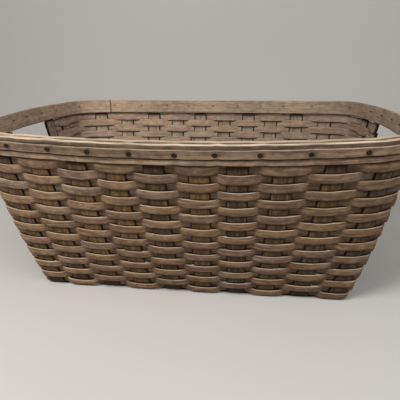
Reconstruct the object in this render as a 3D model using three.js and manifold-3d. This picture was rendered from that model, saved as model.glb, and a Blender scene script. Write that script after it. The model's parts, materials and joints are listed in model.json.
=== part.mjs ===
// A splint laundry basket with a nailed rim, woven piece by piece.
// Millimetres, +Z up, +X along the length, +Y away from the front.
// The origin is on the floor, under the middle of the base.

import * as THREE from 'three';
import { mergeVertices } from 'three/addons/utils/BufferGeometryUtils.js';
import Module from 'manifold-3d';

const wasm = await Module();
wasm.setup();

// Rim: its plan is taken over the outer band, its height to the top of the inner band at the ends
const rimLength = 724;
const rimWidth = 552;
const rimHeight = 300;
const rimSag = 6.6;
const rimSideBow = 51;
const rimEndBow = 48;
const rimCornerRadius = 112;

// Base: its plan is taken through the middle of the standing splints
const baseLength = 538;
const baseWidth = 288;
const baseSideBow = 1;
const baseEndBow = 2;
const baseCornerRadius = 14;

// The wall swells past a straight slope by this share of its flare
const wallSwell = 0.3;

// Wide splints: they cross under the base and stand up in the walls.
// A margin is from the end of the base or rim to the middle of the first splint of that wall.
const splintWidth = 29;
const splintThickness = 2.2;
const crossSplints = 10;
const crossMarginBase = 21.5;
const crossMarginRim = 88.4;
const longSplints = 6;
const longMarginBase = 19;
const longMarginRim = 133.5;
const splintTopInset = 1;
const footHeight = 7;
const bendReach = 3.5;

// A hand sets the splints a little off their even spacing
const nearRimDrift = [6, 6, 8, 3, -1, 2, -8, -5, 3, 12];
const baseDrift = [-2, -7, -7, -3, -4, -5, -3, -8, -5, 1];
const farRimDrift = [-6, -3, 4, 3, -1, -1, -3, -9, -10, -6];

// Weavers: narrow strips that pass over and under the standing splints.
// Their width is what lets all the rows fit between the floor and the bands.
const weaverThickness = 1.8;
const weaverRows = 19;
const firstRowHeight = 14.5;
const rowGap = 0.7;
const underBandGap = 1.4;

// Hand openings: the top rows stop at the splints beside the middle ones
const openRows = 3;
const openSplints = 2;

// Bands, the nailed hoop over them, and their tacks
const bandHeight = 31.5;
const bandThickness = 4.8;
const innerBandRise = 1;
const hoopHeight = 12.8;
const hoopThickness = 3;
const hoopDrop = 6.6;
const lapSeam = 0.3;
const lapTip = 0.15;
const tackHeadRadius = 3.5;
const tackHeadHeight = 1.3;
const tackShoulder = 0.7;
const tackShoulderHeight = 0.75;
const tackShankRadius = 0.95;
const tackPoint = 2;

// Clearances, and how finely curved stretches are divided
const seatGap = 0.3;
const hoopGap = 0.4;
const weaveGap = 0.4;
const shankClearance = 0.3;
const wallSteps = 8;
const cornerSteps = 2;
const lapStations = 4;
const slopeProbe = 2;
const sameSpot = 1e-4;
const tackSides = 6;
const holeSides = 4;

const mix = (from, to, share) => from + (to - from) * share;
const pitchOf = (length, margin, count) => (length - 2 * margin) / (count - 1);

const pad = (number) => String(number).padStart(2, '0');

// From the middle of the splints to the faces of the pieces outside them
const splintFace = splintThickness / 2;
const outerBandIn = splintFace + seatGap;
const outerBandOut = outerBandIn + bandThickness;
const hoopIn = outerBandOut + hoopGap;
const hoopOut = hoopIn + hoopThickness;
const weaverMiddle = splintFace + weaveGap + weaverThickness / 2;

// The share of the flare that the wall has made at a height
function flareAt(height) {
  const share = height / rimHeight;
  return share + wallSwell * share * (1 - share);
}

// The plan of the base or the rim: two side arcs and two end arcs, joined by four corner arcs
function planOf(length, width, sideBow, endBow, cornerRadius) {
  const halfLength = length / 2;
  const halfWidth = width / 2;
  const sideRadius = (halfLength ** 2 + sideBow ** 2) / (2 * sideBow);
  const endRadius = (halfWidth ** 2 + endBow ** 2) / (2 * endBow);
  const sideCentre = halfWidth - sideRadius;
  const endCentre = halfLength - endRadius;
  const apart = Math.hypot(endCentre, sideCentre);
  const alongX = endCentre / apart;
  const alongY = -sideCentre / apart;
  const reach = sideRadius - cornerRadius;
  const along = (reach ** 2 - (endRadius - cornerRadius) ** 2 + apart ** 2) / (2 * apart);
  const across = Math.sqrt(reach ** 2 - along ** 2);
  const cornerX = along * alongX + across * alongY;
  const cornerY = sideCentre + along * alongY - across * alongX;
  return {
    cornerRadius, sideRadius, endRadius, sideCentre, endCentre, cornerX, cornerY,
    sideAngle: Math.atan2(cornerY - sideCentre, cornerX),
    endAngle: Math.atan2(cornerY, cornerX - endCentre),
  };
}
const inset = 2 * outerBandOut;
const basePlan = planOf(baseLength, baseWidth, baseSideBow, baseEndBow, baseCornerRadius);
const rimPlan = planOf(rimLength - inset, rimWidth - inset, rimSideBow, rimEndBow, rimCornerRadius);

// The point of a plan that faces a direction, given as an angle
function pointOnPlan(plan, angle) {
  const facing = Math.atan2(Math.abs(Math.sin(angle)), Math.abs(Math.cos(angle)));
  let x = plan.cornerX + plan.cornerRadius * Math.cos(facing);
  let y = plan.cornerY + plan.cornerRadius * Math.sin(facing);
  if (facing < plan.endAngle) {
    x = plan.endCentre + plan.endRadius * Math.cos(facing);
    y = plan.endRadius * Math.sin(facing);
  }
  if (facing > plan.sideAngle) {
    x = plan.sideRadius * Math.cos(facing);
    y = plan.sideCentre + plan.sideRadius * Math.sin(facing);
  }
  return new THREE.Vector3(x * Math.sign(Math.cos(angle)), y * Math.sign(Math.sin(angle)), 0);
}

// Where a splint stands in a long wall, from its distance along it; side is -1 near, 1 far
function angleOnSide(plan, x, side) {
  const reach = Math.abs(x);
  const onCorner = reach > plan.sideRadius * Math.cos(plan.sideAngle);
  const cosine = onCorner ? (reach - plan.cornerX) / plan.cornerRadius : reach / plan.sideRadius;
  const facing = Math.acos(THREE.MathUtils.clamp(cosine, 0, 1));
  return Math.atan2(side * Math.sin(facing), Math.sign(x) * Math.cos(facing));
}

// Where a splint stands in an end wall; side is -1 left, 1 right
function angleOnEnd(plan, y, side) {
  const reach = Math.abs(y);
  const onCorner = reach > plan.endRadius * Math.sin(plan.endAngle);
  const sine = onCorner ? (reach - plan.cornerY) / plan.cornerRadius : reach / plan.endRadius;
  const facing = Math.asin(THREE.MathUtils.clamp(sine, 0, 1));
  return Math.atan2(Math.sign(y) * Math.sin(facing), side * Math.cos(facing));
}

// The rim dips in the middle of the long sides, and the rows below it dip less and less
function lift(point, height) {
  const halfLength = mix(baseLength, rimLength - inset, flareAt(height)) / 2;
  const dip = rimSag * (height / rimHeight);
  point.z = height - dip * (1 - (point.x / halfLength) ** 2);
  return point;
}

// The height that a strip of this width takes up on the sloping side wall
function riseOf(width, height) {
  const flare = (rimWidth - inset - baseWidth) / 2;
  const slope = flare * (flareAt(height) - flareAt(height - slopeProbe)) / slopeProbe;
  return width / Math.hypot(1, slope);
}

const bandTop = rimHeight - innerBandRise;
const bandBottom = bandTop - riseOf(bandHeight, bandTop);

// The rows from the middle of the first one up to the bands
const rowPitch = (bandBottom - underBandGap - firstRowHeight) / (weaverRows - 0.5);
const weaverWidth = rowPitch - rowGap;

// The places of the splints at the base and at the rim
function evenPlaces(count, pitch, drift) {
  const middle = (count - 1) / 2;
  return Array.from({ length: count }, (unused, index) => (index - middle) * pitch + (drift[index] || 0));
}
const crossPitchBase = pitchOf(baseLength, crossMarginBase, crossSplints);
const crossPitchRim = pitchOf(rimLength, crossMarginRim, crossSplints);
const crossBase = evenPlaces(crossSplints, crossPitchBase, baseDrift);
const crossNearRim = evenPlaces(crossSplints, crossPitchRim, nearRimDrift);
const crossFarRim = evenPlaces(crossSplints, crossPitchRim, farRimDrift);
const longPitchBase = pitchOf(baseWidth, longMarginBase, longSplints);
const longPitchRim = pitchOf(rimWidth, longMarginRim, longSplints);
const longBase = evenPlaces(longSplints, longPitchBase, []);
const longRim = evenPlaces(longSplints, longPitchRim, []);

// A standing splint runs from its place in the base plan to its place in the rim plan
function uprightOf(angleOn, side, basePlace, rimPlace) {
  const baseAngle = angleOn(basePlan, basePlace, side);
  let rimAngle = angleOn(rimPlan, rimPlace, side);
  if (Math.abs(rimAngle - baseAngle) > Math.PI) {
    rimAngle += 2 * Math.PI * Math.sign(baseAngle - rimAngle);
  }
  const foot = pointOnPlan(basePlan, baseAngle);
  const head = pointOnPlan(rimPlan, rimAngle);
  return { baseAngle, rimAngle, foot, head };
}

// Every standing splint, in order round the basket: near side, right end, far side, left end
const uprights = [];
for (let index = 0; index < crossSplints; index += 1) {
  uprights.push(uprightOf(angleOnSide, -1, crossBase[index], crossNearRim[index]));
}
for (let index = 0; index < longSplints; index += 1) {
  uprights.push(uprightOf(angleOnEnd, 1, longBase[index], longRim[index]));
}
for (let index = crossSplints - 1; index >= 0; index -= 1) {
  uprights.push(uprightOf(angleOnSide, 1, crossBase[index], crossFarRim[index]));
}
for (let index = longSplints - 1; index >= 0; index -= 1) {
  uprights.push(uprightOf(angleOnEnd, -1, longBase[index], longRim[index]));
}
const firstRightUpright = crossSplints;
const firstFarUpright = crossSplints + longSplints;
const firstLeftUpright = 2 * crossSplints + longSplints;

function middleOfUpright(upright, height) {
  return lift(upright.foot.clone().lerp(upright.head, flareAt(height)), height);
}

// The two edges of a standing splint at a height, and the direction that its outer face looks in
function uprightEdges(upright, height) {
  const angle = mix(upright.baseAngle, upright.rimAngle, flareAt(height));
  const along = new THREE.Vector3(-Math.sin(angle), Math.cos(angle), 0);
  const above = middleOfUpright(upright, height + slopeProbe);
  const up = above.sub(middleOfUpright(upright, height - slopeProbe));
  const normal = new THREE.Vector3().crossVectors(along, up).normalize();
  return [-1, 1].map((edge) => {
    const point = middleOfUpright(upright, height).addScaledVector(along, edge * splintWidth / 2);
    return { point: lift(point, height), normal };
  });
}

// Between two walls the corner runs as a smooth bow. It leaves the last splint of one wall and
// reaches the first of the next in line with them, and swings towards the point where they meet.
function cornerStations(before, after, height) {
  const [beforeStart, start] = uprightEdges(before, height);
  const [end, afterEnd] = uprightEdges(after, height);
  const leave = start.point.clone().sub(beforeStart.point);
  const arrive = afterEnd.point.clone().sub(end.point);
  const gap = end.point.clone().sub(start.point);
  const turn = leave.x * arrive.y - leave.y * arrive.x;
  const run = (gap.x * arrive.y - gap.y * arrive.x) / turn;
  const meeting = start.point.clone().addScaledVector(leave, run);
  const bow = new THREE.QuadraticBezierCurve3(start.point, meeting, end.point);
  const stations = [];
  for (let step = 1; step <= cornerSteps; step += 1) {
    const share = step / (cornerSteps + 1);
    const normal = start.normal.clone().lerp(end.normal, share).normalize();
    stations.push({ point: bow.getPoint(share), normal });
  }
  return stations;
}

// A rail is the whole run of stations round the wall at a height.
// Each station knows its splint and how far it is on the way to the next one.
const cornersAfter = [firstRightUpright, firstFarUpright, firstLeftUpright, uprights.length]
  .map((next) => next - 1);
const railCache = new Map();
function railAt(height) {
  const key = height.toFixed(6);
  if (!railCache.has(key)) {
    const rail = [];
    uprights.forEach((upright, index) => {
      uprightEdges(upright, height).forEach((station) => rail.push({ ...station, index, onWay: 0 }));
      if (cornersAfter.includes(index)) {
        const after = uprights[(index + 1) % uprights.length];
        cornerStations(upright, after, height).forEach((station, step) => {
          rail.push({ ...station, index, onWay: (step + 1) / (cornerSteps + 1) });
        });
      }
    });
    railCache.set(key, rail);
  }
  return railCache.get(key);
}

// A solid swept through four-cornered sections; a closed one joins its last section to its first
function sectionSolid(sections, closed) {
  const positions = sections.flat().flatMap((corner) => corner.toArray());
  const faces = [];
  const quad = (a, b, c, d) => faces.push(a, b, c, a, c, d);
  const steps = closed ? sections.length : sections.length - 1;
  for (let step = 0; step < steps; step += 1) {
    const here = step * 4;
    const next = ((step + 1) % sections.length) * 4;
    for (let side = 0; side < 4; side += 1) {
      const other = (side + 1) % 4;
      quad(here + side, here + other, next + other, next + side);
    }
  }
  if (!closed) {
    const last = (sections.length - 1) * 4;
    quad(3, 2, 1, 0);
    quad(last, last + 1, last + 2, last + 3);
  }
  const geometry = new THREE.BufferGeometry();
  geometry.setAttribute('position', new THREE.Float32BufferAttribute(positions, 3));
  geometry.setIndex(faces);
  return geometry;
}

const offset = (station, distance) => station.point.clone().addScaledVector(station.normal, distance);

// The section of a hoop at one station, between two heights and two distances from the middle
const hoopSection = (low, high, inside, outside) => [
  offset(low, inside),
  offset(high, inside),
  offset(high, outside),
  offset(low, outside),
];

// A weaver lies outside every other splint, and the next row outside the rest
function weaverSide(row, index) {
  return (index + weaverRows - row) % 2 === 0 ? -1 : 1;
}

function weaverSolid(row, first, last) {
  const height = firstRowHeight + (row - 1) * rowPitch;
  const half = riseOf(weaverWidth, height) / 2;
  const lower = railAt(height - half);
  const upper = railAt(height + half);
  const closed = first === last;
  const sections = [];
  const count = uprights.length;
  const span = closed ? count : ((last - first + count) % count) + 1;
  for (let pass = 0; pass < span; pass += 1) {
    const index = (first + pass) % count;
    lower.forEach((low, place) => {
      const beyondEnd = !closed && pass === span - 1 && low.onWay > 0;
      if (low.index !== index || beyondEnd) {
        return;
      }
      const from = weaverSide(row, index);
      const to = weaverSide(row, (index + 1) % count);
      const middle = weaverMiddle * mix(from, to, low.onWay);
      const inside = middle - weaverThickness / 2;
      const outside = middle + weaverThickness / 2;
      sections.push(hoopSection(low, upper[place], inside, outside));
    });
  }
  return sectionSolid(sections, closed);
}

// A band is one strip bent round the rim. Its two ends are shaved to a wedge and lie on each other.
function bandSolid(top, height, inside, thickness, firstStation) {
  const upper = railAt(top);
  const lower = railAt(top - riseOf(height, top));
  const count = upper.length;
  const outside = inside + thickness;
  const shaved = thickness - lapSeam;
  const sections = [];
  for (let pass = 0; pass <= count + lapStations; pass += 1) {
    const place = (firstStation + pass) % count;
    const startWedge = mix(lapTip, 1 - lapTip, pass / lapStations);
    const endWedge = mix(lapTip, 1 - lapTip, (pass - count) / lapStations);
    const outer = pass <= lapStations ? inside + shaved * startWedge : outside;
    const inner = pass >= count ? inside + shaved * endWedge + lapSeam : inside;
    sections.push(hoopSection(lower[place], upper[place], inner, outer));
  }
  return sectionSolid(sections, false);
}

// Where a band's outer or inner tip lies: the first edge of a splint, counted in rail stations
function stationOfUpright(index) {
  return railAt(rimHeight).findIndex((station) => station.index === index);
}

// The wall part of a splint, from its top down to its foot
function wallSections(upright, top, bandBottom, swap) {
  const heights = [top];
  const below = Math.min(top, bandBottom);
  for (let step = 0; step <= wallSteps; step += 1) {
    const height = mix(below, footHeight, step / wallSteps);
    if (height < top) {
      heights.push(height);
    }
  }
  return heights.map((height) => {
    const edges = uprightEdges(upright, height);
    const [left, right] = swap ? [edges[1], edges[0]] : edges;
    return splintSection(left.point, right.point, left.normal);
  });
}

const splintSection = (left, right, normal) => [
  left.clone().addScaledVector(normal, -splintFace),
  right.clone().addScaledVector(normal, -splintFace),
  right.clone().addScaledVector(normal, splintFace),
  left.clone().addScaledVector(normal, splintFace),
];

const down = new THREE.Vector3(0, 0, -1);
const layerStep = splintThickness + seatGap;
const crossLevel = splintFace + layerStep;

// The flat foot section where a standing splint turns under the base
function bendSection(upright, level, swap) {
  const edges = uprightEdges(upright, footHeight);
  const [left, right] = swap ? [edges[1], edges[0]] : edges;
  const flatten = (edge) => {
    const inward = new THREE.Vector3(edge.normal.x, edge.normal.y, 0).normalize();
    const point = edge.point.clone().addScaledVector(inward, -bendReach);
    point.z = level;
    return point;
  };
  return splintSection(flatten(left), flatten(right), down);
}

const splintTop = bandTop - splintTopInset;
const closedRows = weaverRows - openRows;
const openingFloor = firstRowHeight + (closedRows - 1) * rowPitch;
const cutTop = openingFloor + riseOf(weaverWidth, openingFloor) / 2;

// A cross splint: down the near wall, straight under the base and up the far wall
function crossSplintSolid(index) {
  const near = uprights[index];
  const far = uprights[firstLeftUpright - 1 - index];
  const nearWall = wallSections(near, splintTop, bandBottom, false);
  const farWall = wallSections(far, splintTop, bandBottom, true).reverse();
  const base = [bendSection(near, crossLevel, false), bendSection(far, crossLevel, true)];
  return sectionSolid([...nearWall, ...base, ...farWall], false);
}

// A long splint lies over and under the cross splints, and the middle ones stop at the hand openings
function longSplintSolid(index) {
  const right = uprights[firstRightUpright + index];
  const left = uprights[uprights.length - 1 - index];
  const fromMiddle = Math.abs(index - (longSplints - 1) / 2);
  const top = fromMiddle < openSplints / 2 ? cutTop : splintTop;
  const leftWall = wallSections(left, top, bandBottom, false);
  const rightWall = wallSections(right, top, bandBottom, true).reverse();
  const levelAt = (cross) => crossLevel + ((index + cross) % 2 === 0 ? -layerStep : layerStep);
  const base = [bendSection(left, levelAt(0), false)];
  const half = splintWidth / 2;
  crossBase.forEach((x, cross) => {
    [-1, 1].forEach((edge) => {
      const outerEdge = (cross === 0 && edge < 0) || (cross === crossSplints - 1 && edge > 0);
      if (outerEdge) {
        return;
      }
      const leftEdge = new THREE.Vector3(x + edge * half, longBase[index] + half, levelAt(cross));
      const rightEdge = new THREE.Vector3(x + edge * half, longBase[index] - half, levelAt(cross));
      base.push(splintSection(leftEdge, rightEdge, down));
    });
  });
  base.push(bendSection(right, levelAt(crossSplints - 1), true));
  return sectionSolid([...leftWall, ...base, ...rightWall], false);
}

// The tacks stand between neighbouring splints, square to the face of the hoop there
const hoopTop = bandTop - riseOf(hoopDrop, bandTop);
function tackSeat(index) {
  const before = stationOfUpright(index) + 1;
  const after = stationOfUpright(index + 1);
  const lower = railAt(hoopTop - riseOf(hoopHeight, hoopTop));
  const upper = railAt(hoopTop);
  const corners = [lower[before], upper[before], upper[after], lower[after]]
    .map((station) => offset(station, hoopOut));
  const middle = new THREE.Vector3();
  corners.forEach((corner) => middle.addScaledVector(corner, 1 / corners.length));
  const rising = corners[2].clone().sub(corners[0]);
  const falling = corners[3].clone().sub(corners[1]);
  const normal = falling.cross(rising).normalize();
  return { middle, normal };
}
const tackedGaps = [];
for (let gap = 0; gap < crossSplints - 1; gap += 1) {
  tackedGaps.push(gap);
}
for (let gap = 0; gap < crossSplints - 1; gap += 1) {
  tackedGaps.push(firstFarUpright + gap);
}
const tackLength = hoopOut + seatGap + splintFace + seatGap + bandThickness + tackPoint;

function tackGeometry() {
  const profile = [
    new THREE.Vector2(0, -tackLength),
    new THREE.Vector2(tackShankRadius, -tackLength + tackPoint),
    new THREE.Vector2(tackShankRadius, 0),
    new THREE.Vector2(tackHeadRadius, 0),
    new THREE.Vector2(tackHeadRadius * tackShoulder, tackHeadHeight * tackShoulderHeight),
    new THREE.Vector2(0, tackHeadHeight),
  ];
  return new THREE.LatheGeometry(profile, tackSides);
}

// Turns a piece made along +Y so that it stands out along a normal
function seatTurn(normal) {
  return new THREE.Quaternion().setFromUnitVectors(new THREE.Vector3(0, 1, 0), normal);
}

function toManifold(geometry) {
  const bare = geometry.clone();
  bare.deleteAttribute('normal');
  bare.deleteAttribute('uv');
  const merged = mergeVertices(bare, sameSpot);
  return new wasm.Manifold(new wasm.Mesh({
    numProp: 3,
    vertProperties: new Float32Array(merged.attributes.position.array),
    triVerts: new Uint32Array(merged.index.array),
  }));
}

function fromManifold(solid) {
  const mesh = solid.getMesh();
  const geometry = new THREE.BufferGeometry();
  geometry.setAttribute('position', new THREE.BufferAttribute(mesh.vertProperties, 3));
  geometry.setIndex(new THREE.BufferAttribute(mesh.triVerts, 1));
  return geometry;
}

// Bores a hole for each tack through a band or the hoop
function boreForTacks(geometry) {
  let solid = toManifold(geometry);
  const radius = (tackShankRadius + shankClearance) / Math.cos(Math.PI / holeSides);
  const boreLength = 2 * tackLength;
  tackedGaps.forEach((gap) => {
    const seat = tackSeat(gap);
    const drill = new THREE.CylinderGeometry(radius, radius, boreLength, holeSides);
    drill.applyQuaternion(seatTurn(seat.normal));
    drill.translate(seat.middle.x, seat.middle.y, seat.middle.z);
    solid = solid.subtract(toManifold(drill));
  });
  return fromManifold(solid);
}

const splintWood = { color: 0x7a5a3c, roughness: 0.85, metalness: 0 };
const weaverWood = { color: 0x9c8468, roughness: 0.85, metalness: 0 };
const bandWood = { color: 0x8b7a68, roughness: 0.8, metalness: 0 };
const darkIron = { color: 0x2e2824, roughness: 0.6, metalness: 0.7 };

const basket = new THREE.Group();

function addPiece(name, geometry, finish) {
  const piece = new THREE.Mesh(geometry, new THREE.MeshStandardMaterial(finish));
  piece.name = name;
  basket.add(piece);
  return piece;
}

for (let index = 0; index < crossSplints; index += 1) {
  addPiece(`cross_splint_${pad(index + 1)}`, crossSplintSolid(index), splintWood);
}
for (let index = 0; index < longSplints; index += 1) {
  addPiece(`long_splint_${pad(index + 1)}`, longSplintSolid(index), splintWood);
}

// The full rows, and above them the front and back strips beside the hand openings
const beside = (longSplints - openSplints) / 2;
for (let row = 1; row <= closedRows; row += 1) {
  addPiece(`weaver_row_${pad(row)}`, weaverSolid(row, 0, 0), weaverWood);
}
for (let row = closedRows + 1; row <= weaverRows; row += 1) {
  const front = weaverSolid(row, uprights.length - beside, firstRightUpright + beside - 1);
  const back = weaverSolid(row, firstFarUpright - beside, firstLeftUpright + beside - 1);
  addPiece(`weaver_row_${pad(row)}_front`, front, weaverWood);
  addPiece(`weaver_row_${pad(row)}_back`, back, weaverWood);
}

const innerBand = bandSolid(
  rimHeight,
  bandHeight,
  -outerBandOut,
  bandThickness,
  stationOfUpright(firstLeftUpright - 1),
);
const outerBand = bandSolid(bandTop, bandHeight, outerBandIn, bandThickness, stationOfUpright(1));
const hoop = bandSolid(hoopTop, hoopHeight, hoopIn, hoopThickness, stationOfUpright(firstFarUpright + 2));
addPiece('inner_rim_band', boreForTacks(innerBand), bandWood);
addPiece('outer_rim_band', boreForTacks(outerBand), bandWood);
addPiece('nailed_hoop', boreForTacks(hoop), bandWood);

tackedGaps.forEach((gap, index) => {
  const seat = tackSeat(gap);
  const tack = addPiece(`tack_${pad(index + 1)}`, tackGeometry(), darkIron);
  tack.position.copy(seat.middle).addScaledVector(seat.normal, seatGap);
  tack.quaternion.copy(seatTurn(seat.normal));
});

export default basket;
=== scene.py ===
# %% [markdown]
# # A splint laundry basket, woven and rimmed in Blender
#
# The object is an old basket made of flat wood splints. Wide splints cross under the base and stand up
# as the walls. Narrow weavers run round the walls, over one splint and under the next. Two thick bands
# clamp the splints' tops, and a narrow hoop is tacked over the outer band.
#
# The packed model gives the plain solids. It stays as the frame: every piece made here stands for one
# of its nodes and keeps that node's place.

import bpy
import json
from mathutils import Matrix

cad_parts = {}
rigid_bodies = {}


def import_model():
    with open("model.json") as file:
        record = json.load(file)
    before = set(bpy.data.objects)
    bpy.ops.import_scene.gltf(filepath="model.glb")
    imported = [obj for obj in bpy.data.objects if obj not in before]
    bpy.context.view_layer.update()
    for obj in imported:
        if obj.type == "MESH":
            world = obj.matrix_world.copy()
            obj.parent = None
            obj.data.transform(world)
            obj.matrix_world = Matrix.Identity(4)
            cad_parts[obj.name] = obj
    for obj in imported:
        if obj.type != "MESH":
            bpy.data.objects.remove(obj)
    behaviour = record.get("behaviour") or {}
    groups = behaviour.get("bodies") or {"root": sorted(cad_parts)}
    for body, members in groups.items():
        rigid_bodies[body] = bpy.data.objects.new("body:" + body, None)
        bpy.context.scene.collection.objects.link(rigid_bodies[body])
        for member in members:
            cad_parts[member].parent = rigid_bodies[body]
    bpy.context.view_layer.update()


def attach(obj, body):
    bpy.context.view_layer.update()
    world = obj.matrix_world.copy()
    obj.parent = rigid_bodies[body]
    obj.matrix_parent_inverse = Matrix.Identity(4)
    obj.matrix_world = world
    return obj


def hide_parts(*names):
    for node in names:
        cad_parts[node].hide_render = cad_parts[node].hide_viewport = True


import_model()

# %% Modules
import json
import math

import bpy
import numpy as np
from mathutils import Matrix, Vector

print("Blender", bpy.app.version_string)

# %% [markdown]
# ## The sizes
#
# All sizes are in millimetres, as a maker would measure them, and only the finished vertices are turned
# into metres. They are the sizes that the solids were built from, so that the pieces land on them.

# %% Sizes of the basket, in millimetres
METRE = 1000.0

RIM_LENGTH = 724.0
RIM_WIDTH = 552.0
RIM_HEIGHT = 300.0
RIM_SAG = 6.6
RIM_BOWS = (51.0, 48.0)
RIM_CORNER = 112.0

BASE_LENGTH = 538.0
BASE_WIDTH = 288.0
BASE_BOWS = (1.0, 2.0)
BASE_CORNER = 14.0
WALL_SWELL = 0.3

SPLINT_WIDTH = 29.0
SPLINT_THICKNESS = 2.2
CROSS_SPLINTS = 10
LONG_SPLINTS = 6
CROSS_MARGINS = (21.5, 88.4)
LONG_MARGINS = (19.0, 133.5)
NEAR_RIM_DRIFT = (6, 6, 8, 3, -1, 2, -8, -5, 3, 12)
BASE_DRIFT = (-2, -7, -7, -3, -4, -5, -3, -8, -5, 1)
FAR_RIM_DRIFT = (-6, -3, 4, 3, -1, -1, -3, -9, -10, -6)

WEAVER_ROWS = 19
WEAVER_THICKNESS = 1.7
FIRST_ROW = 14.5
ROW_GAP = 0.06
UNDER_BAND = 1.4
OPEN_ROWS = 3

BAND_HEIGHT = 31.5
OUTER_BAND_DROP = 1.0
BAND_THICKNESS = 4.8
HOOP_HEIGHT = 12.8
HOOP_THICKNESS = 3.0
HOOP_DROP = 6.6
SEAT_GAP = 0.3
HOOP_GAP = 0.4
print("rim, base and height, mm:", (RIM_LENGTH, RIM_WIDTH), (BASE_LENGTH, BASE_WIDTH), RIM_HEIGHT)

# %% Distances from the middle of the splints
BAND_IN = SPLINT_THICKNESS / 2 + SEAT_GAP
BAND_OUT = BAND_IN + BAND_THICKNESS
HOOP_IN = BAND_OUT + HOOP_GAP
HOOP_OUT = HOOP_IN + HOOP_THICKNESS
UPRIGHTS = 2 * (CROSS_SPLINTS + LONG_SPLINTS)
print("uprights round the walls:", UPRIGHTS)

# %% [markdown]
# ## The shape of the wall
#
# In plan the base is nearly a rectangle and the rim is a bowed oval. Each is made of two side arcs, two
# end arcs and four corner arcs. A standing splint is straight in plan: it runs from its place on the
# base plan to its place on the rim plan. Between splints the wall is a smooth curve.
#
# A surface like this could be lofted as a mesh. A function is used instead, because every weaver, band
# and tack needs the same wall at its own height and distance.

# %% The plan: side arcs, end arcs and corner arcs
def plan_of(length, width, bows, corner):
    half_length, half_width = length / 2, width / 2
    side_radius = (half_length**2 + bows[0] ** 2) / (2 * bows[0])
    end_radius = (half_width**2 + bows[1] ** 2) / (2 * bows[1])
    side_centre = half_width - side_radius
    end_centre = half_length - end_radius
    apart = math.hypot(end_centre, side_centre)
    way = (end_centre / apart, -side_centre / apart)
    reach = side_radius - corner
    along = (reach**2 - (end_radius - corner) ** 2 + apart**2) / (2 * apart)
    across = math.sqrt(reach**2 - along**2)
    corner_x = along * way[0] + across * way[1]
    corner_y = side_centre + along * way[1] - across * way[0]
    return {
        "corner": corner,
        "side_radius": side_radius,
        "end_radius": end_radius,
        "side_centre": side_centre,
        "end_centre": end_centre,
        "corner_x": corner_x,
        "corner_y": corner_y,
        "side_angle": math.atan2(corner_y - side_centre, corner_x),
        "end_angle": math.atan2(corner_y, corner_x - end_centre),
    }


BASE_PLAN = plan_of(BASE_LENGTH, BASE_WIDTH, BASE_BOWS, BASE_CORNER)
RIM_PLAN = plan_of(RIM_LENGTH - 2 * BAND_OUT, RIM_WIDTH - 2 * BAND_OUT, RIM_BOWS, RIM_CORNER)
print("rim side radius, mm:", round(RIM_PLAN["side_radius"]))


# %% Points and angles on a plan
def point_on_plan(plan, angle):
    facing = math.atan2(abs(math.sin(angle)), abs(math.cos(angle)))
    x = plan["corner_x"] + plan["corner"] * math.cos(facing)
    y = plan["corner_y"] + plan["corner"] * math.sin(facing)
    if facing < plan["end_angle"]:
        x = plan["end_centre"] + plan["end_radius"] * math.cos(facing)
        y = plan["end_radius"] * math.sin(facing)
    if facing > plan["side_angle"]:
        x = plan["side_radius"] * math.cos(facing)
        y = plan["side_centre"] + plan["side_radius"] * math.sin(facing)
    return (math.copysign(x, math.cos(angle)), math.copysign(y, math.sin(angle)))


def angle_on_side(plan, x, side):
    reach = abs(x)
    on_corner = reach > plan["side_radius"] * math.cos(plan["side_angle"])
    cosine = reach / plan["side_radius"]
    if on_corner:
        cosine = (reach - plan["corner_x"]) / plan["corner"]
    facing = math.acos(min(1.0, max(0.0, cosine)))
    return math.atan2(side * math.sin(facing), math.copysign(math.cos(facing), x))


def angle_on_end(plan, y, side):
    reach = abs(y)
    on_corner = reach > plan["end_radius"] * math.sin(plan["end_angle"])
    sine = reach / plan["end_radius"]
    if on_corner:
        sine = (reach - plan["corner_y"]) / plan["corner"]
    facing = math.asin(min(1.0, max(0.0, sine)))
    return math.atan2(math.copysign(math.sin(facing), y), side * math.cos(facing))


print("the rim's corner, mm:", [round(value) for value in point_on_plan(RIM_PLAN, math.pi / 4)])


# %% Where each splint stands at the base and at the rim
def even_places(count, length, margin, drift):
    pitch = (length - 2 * margin) / (count - 1)
    middle = (count - 1) / 2
    return [(place - middle) * pitch + drift[place] for place in range(count)]


NO_DRIFT = (0,) * LONG_SPLINTS
CROSS_BASE = even_places(CROSS_SPLINTS, BASE_LENGTH, CROSS_MARGINS[0], BASE_DRIFT)
CROSS_NEAR = even_places(CROSS_SPLINTS, RIM_LENGTH, CROSS_MARGINS[1], NEAR_RIM_DRIFT)
CROSS_FAR = even_places(CROSS_SPLINTS, RIM_LENGTH, CROSS_MARGINS[1], FAR_RIM_DRIFT)
LONG_BASE = even_places(LONG_SPLINTS, BASE_WIDTH, LONG_MARGINS[0], NO_DRIFT)
LONG_RIM = even_places(LONG_SPLINTS, RIM_WIDTH, LONG_MARGINS[1], NO_DRIFT)


def standing(angle_on, side, base_place, rim_place):
    base_angle = angle_on(BASE_PLAN, base_place, side)
    rim_angle = angle_on(RIM_PLAN, rim_place, side)
    if abs(rim_angle - base_angle) > math.pi:
        rim_angle += math.copysign(2 * math.pi, base_angle - rim_angle)
    foot = point_on_plan(BASE_PLAN, base_angle)
    head = point_on_plan(RIM_PLAN, rim_angle)
    return (base_angle, rim_angle, *foot, *head)


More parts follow.
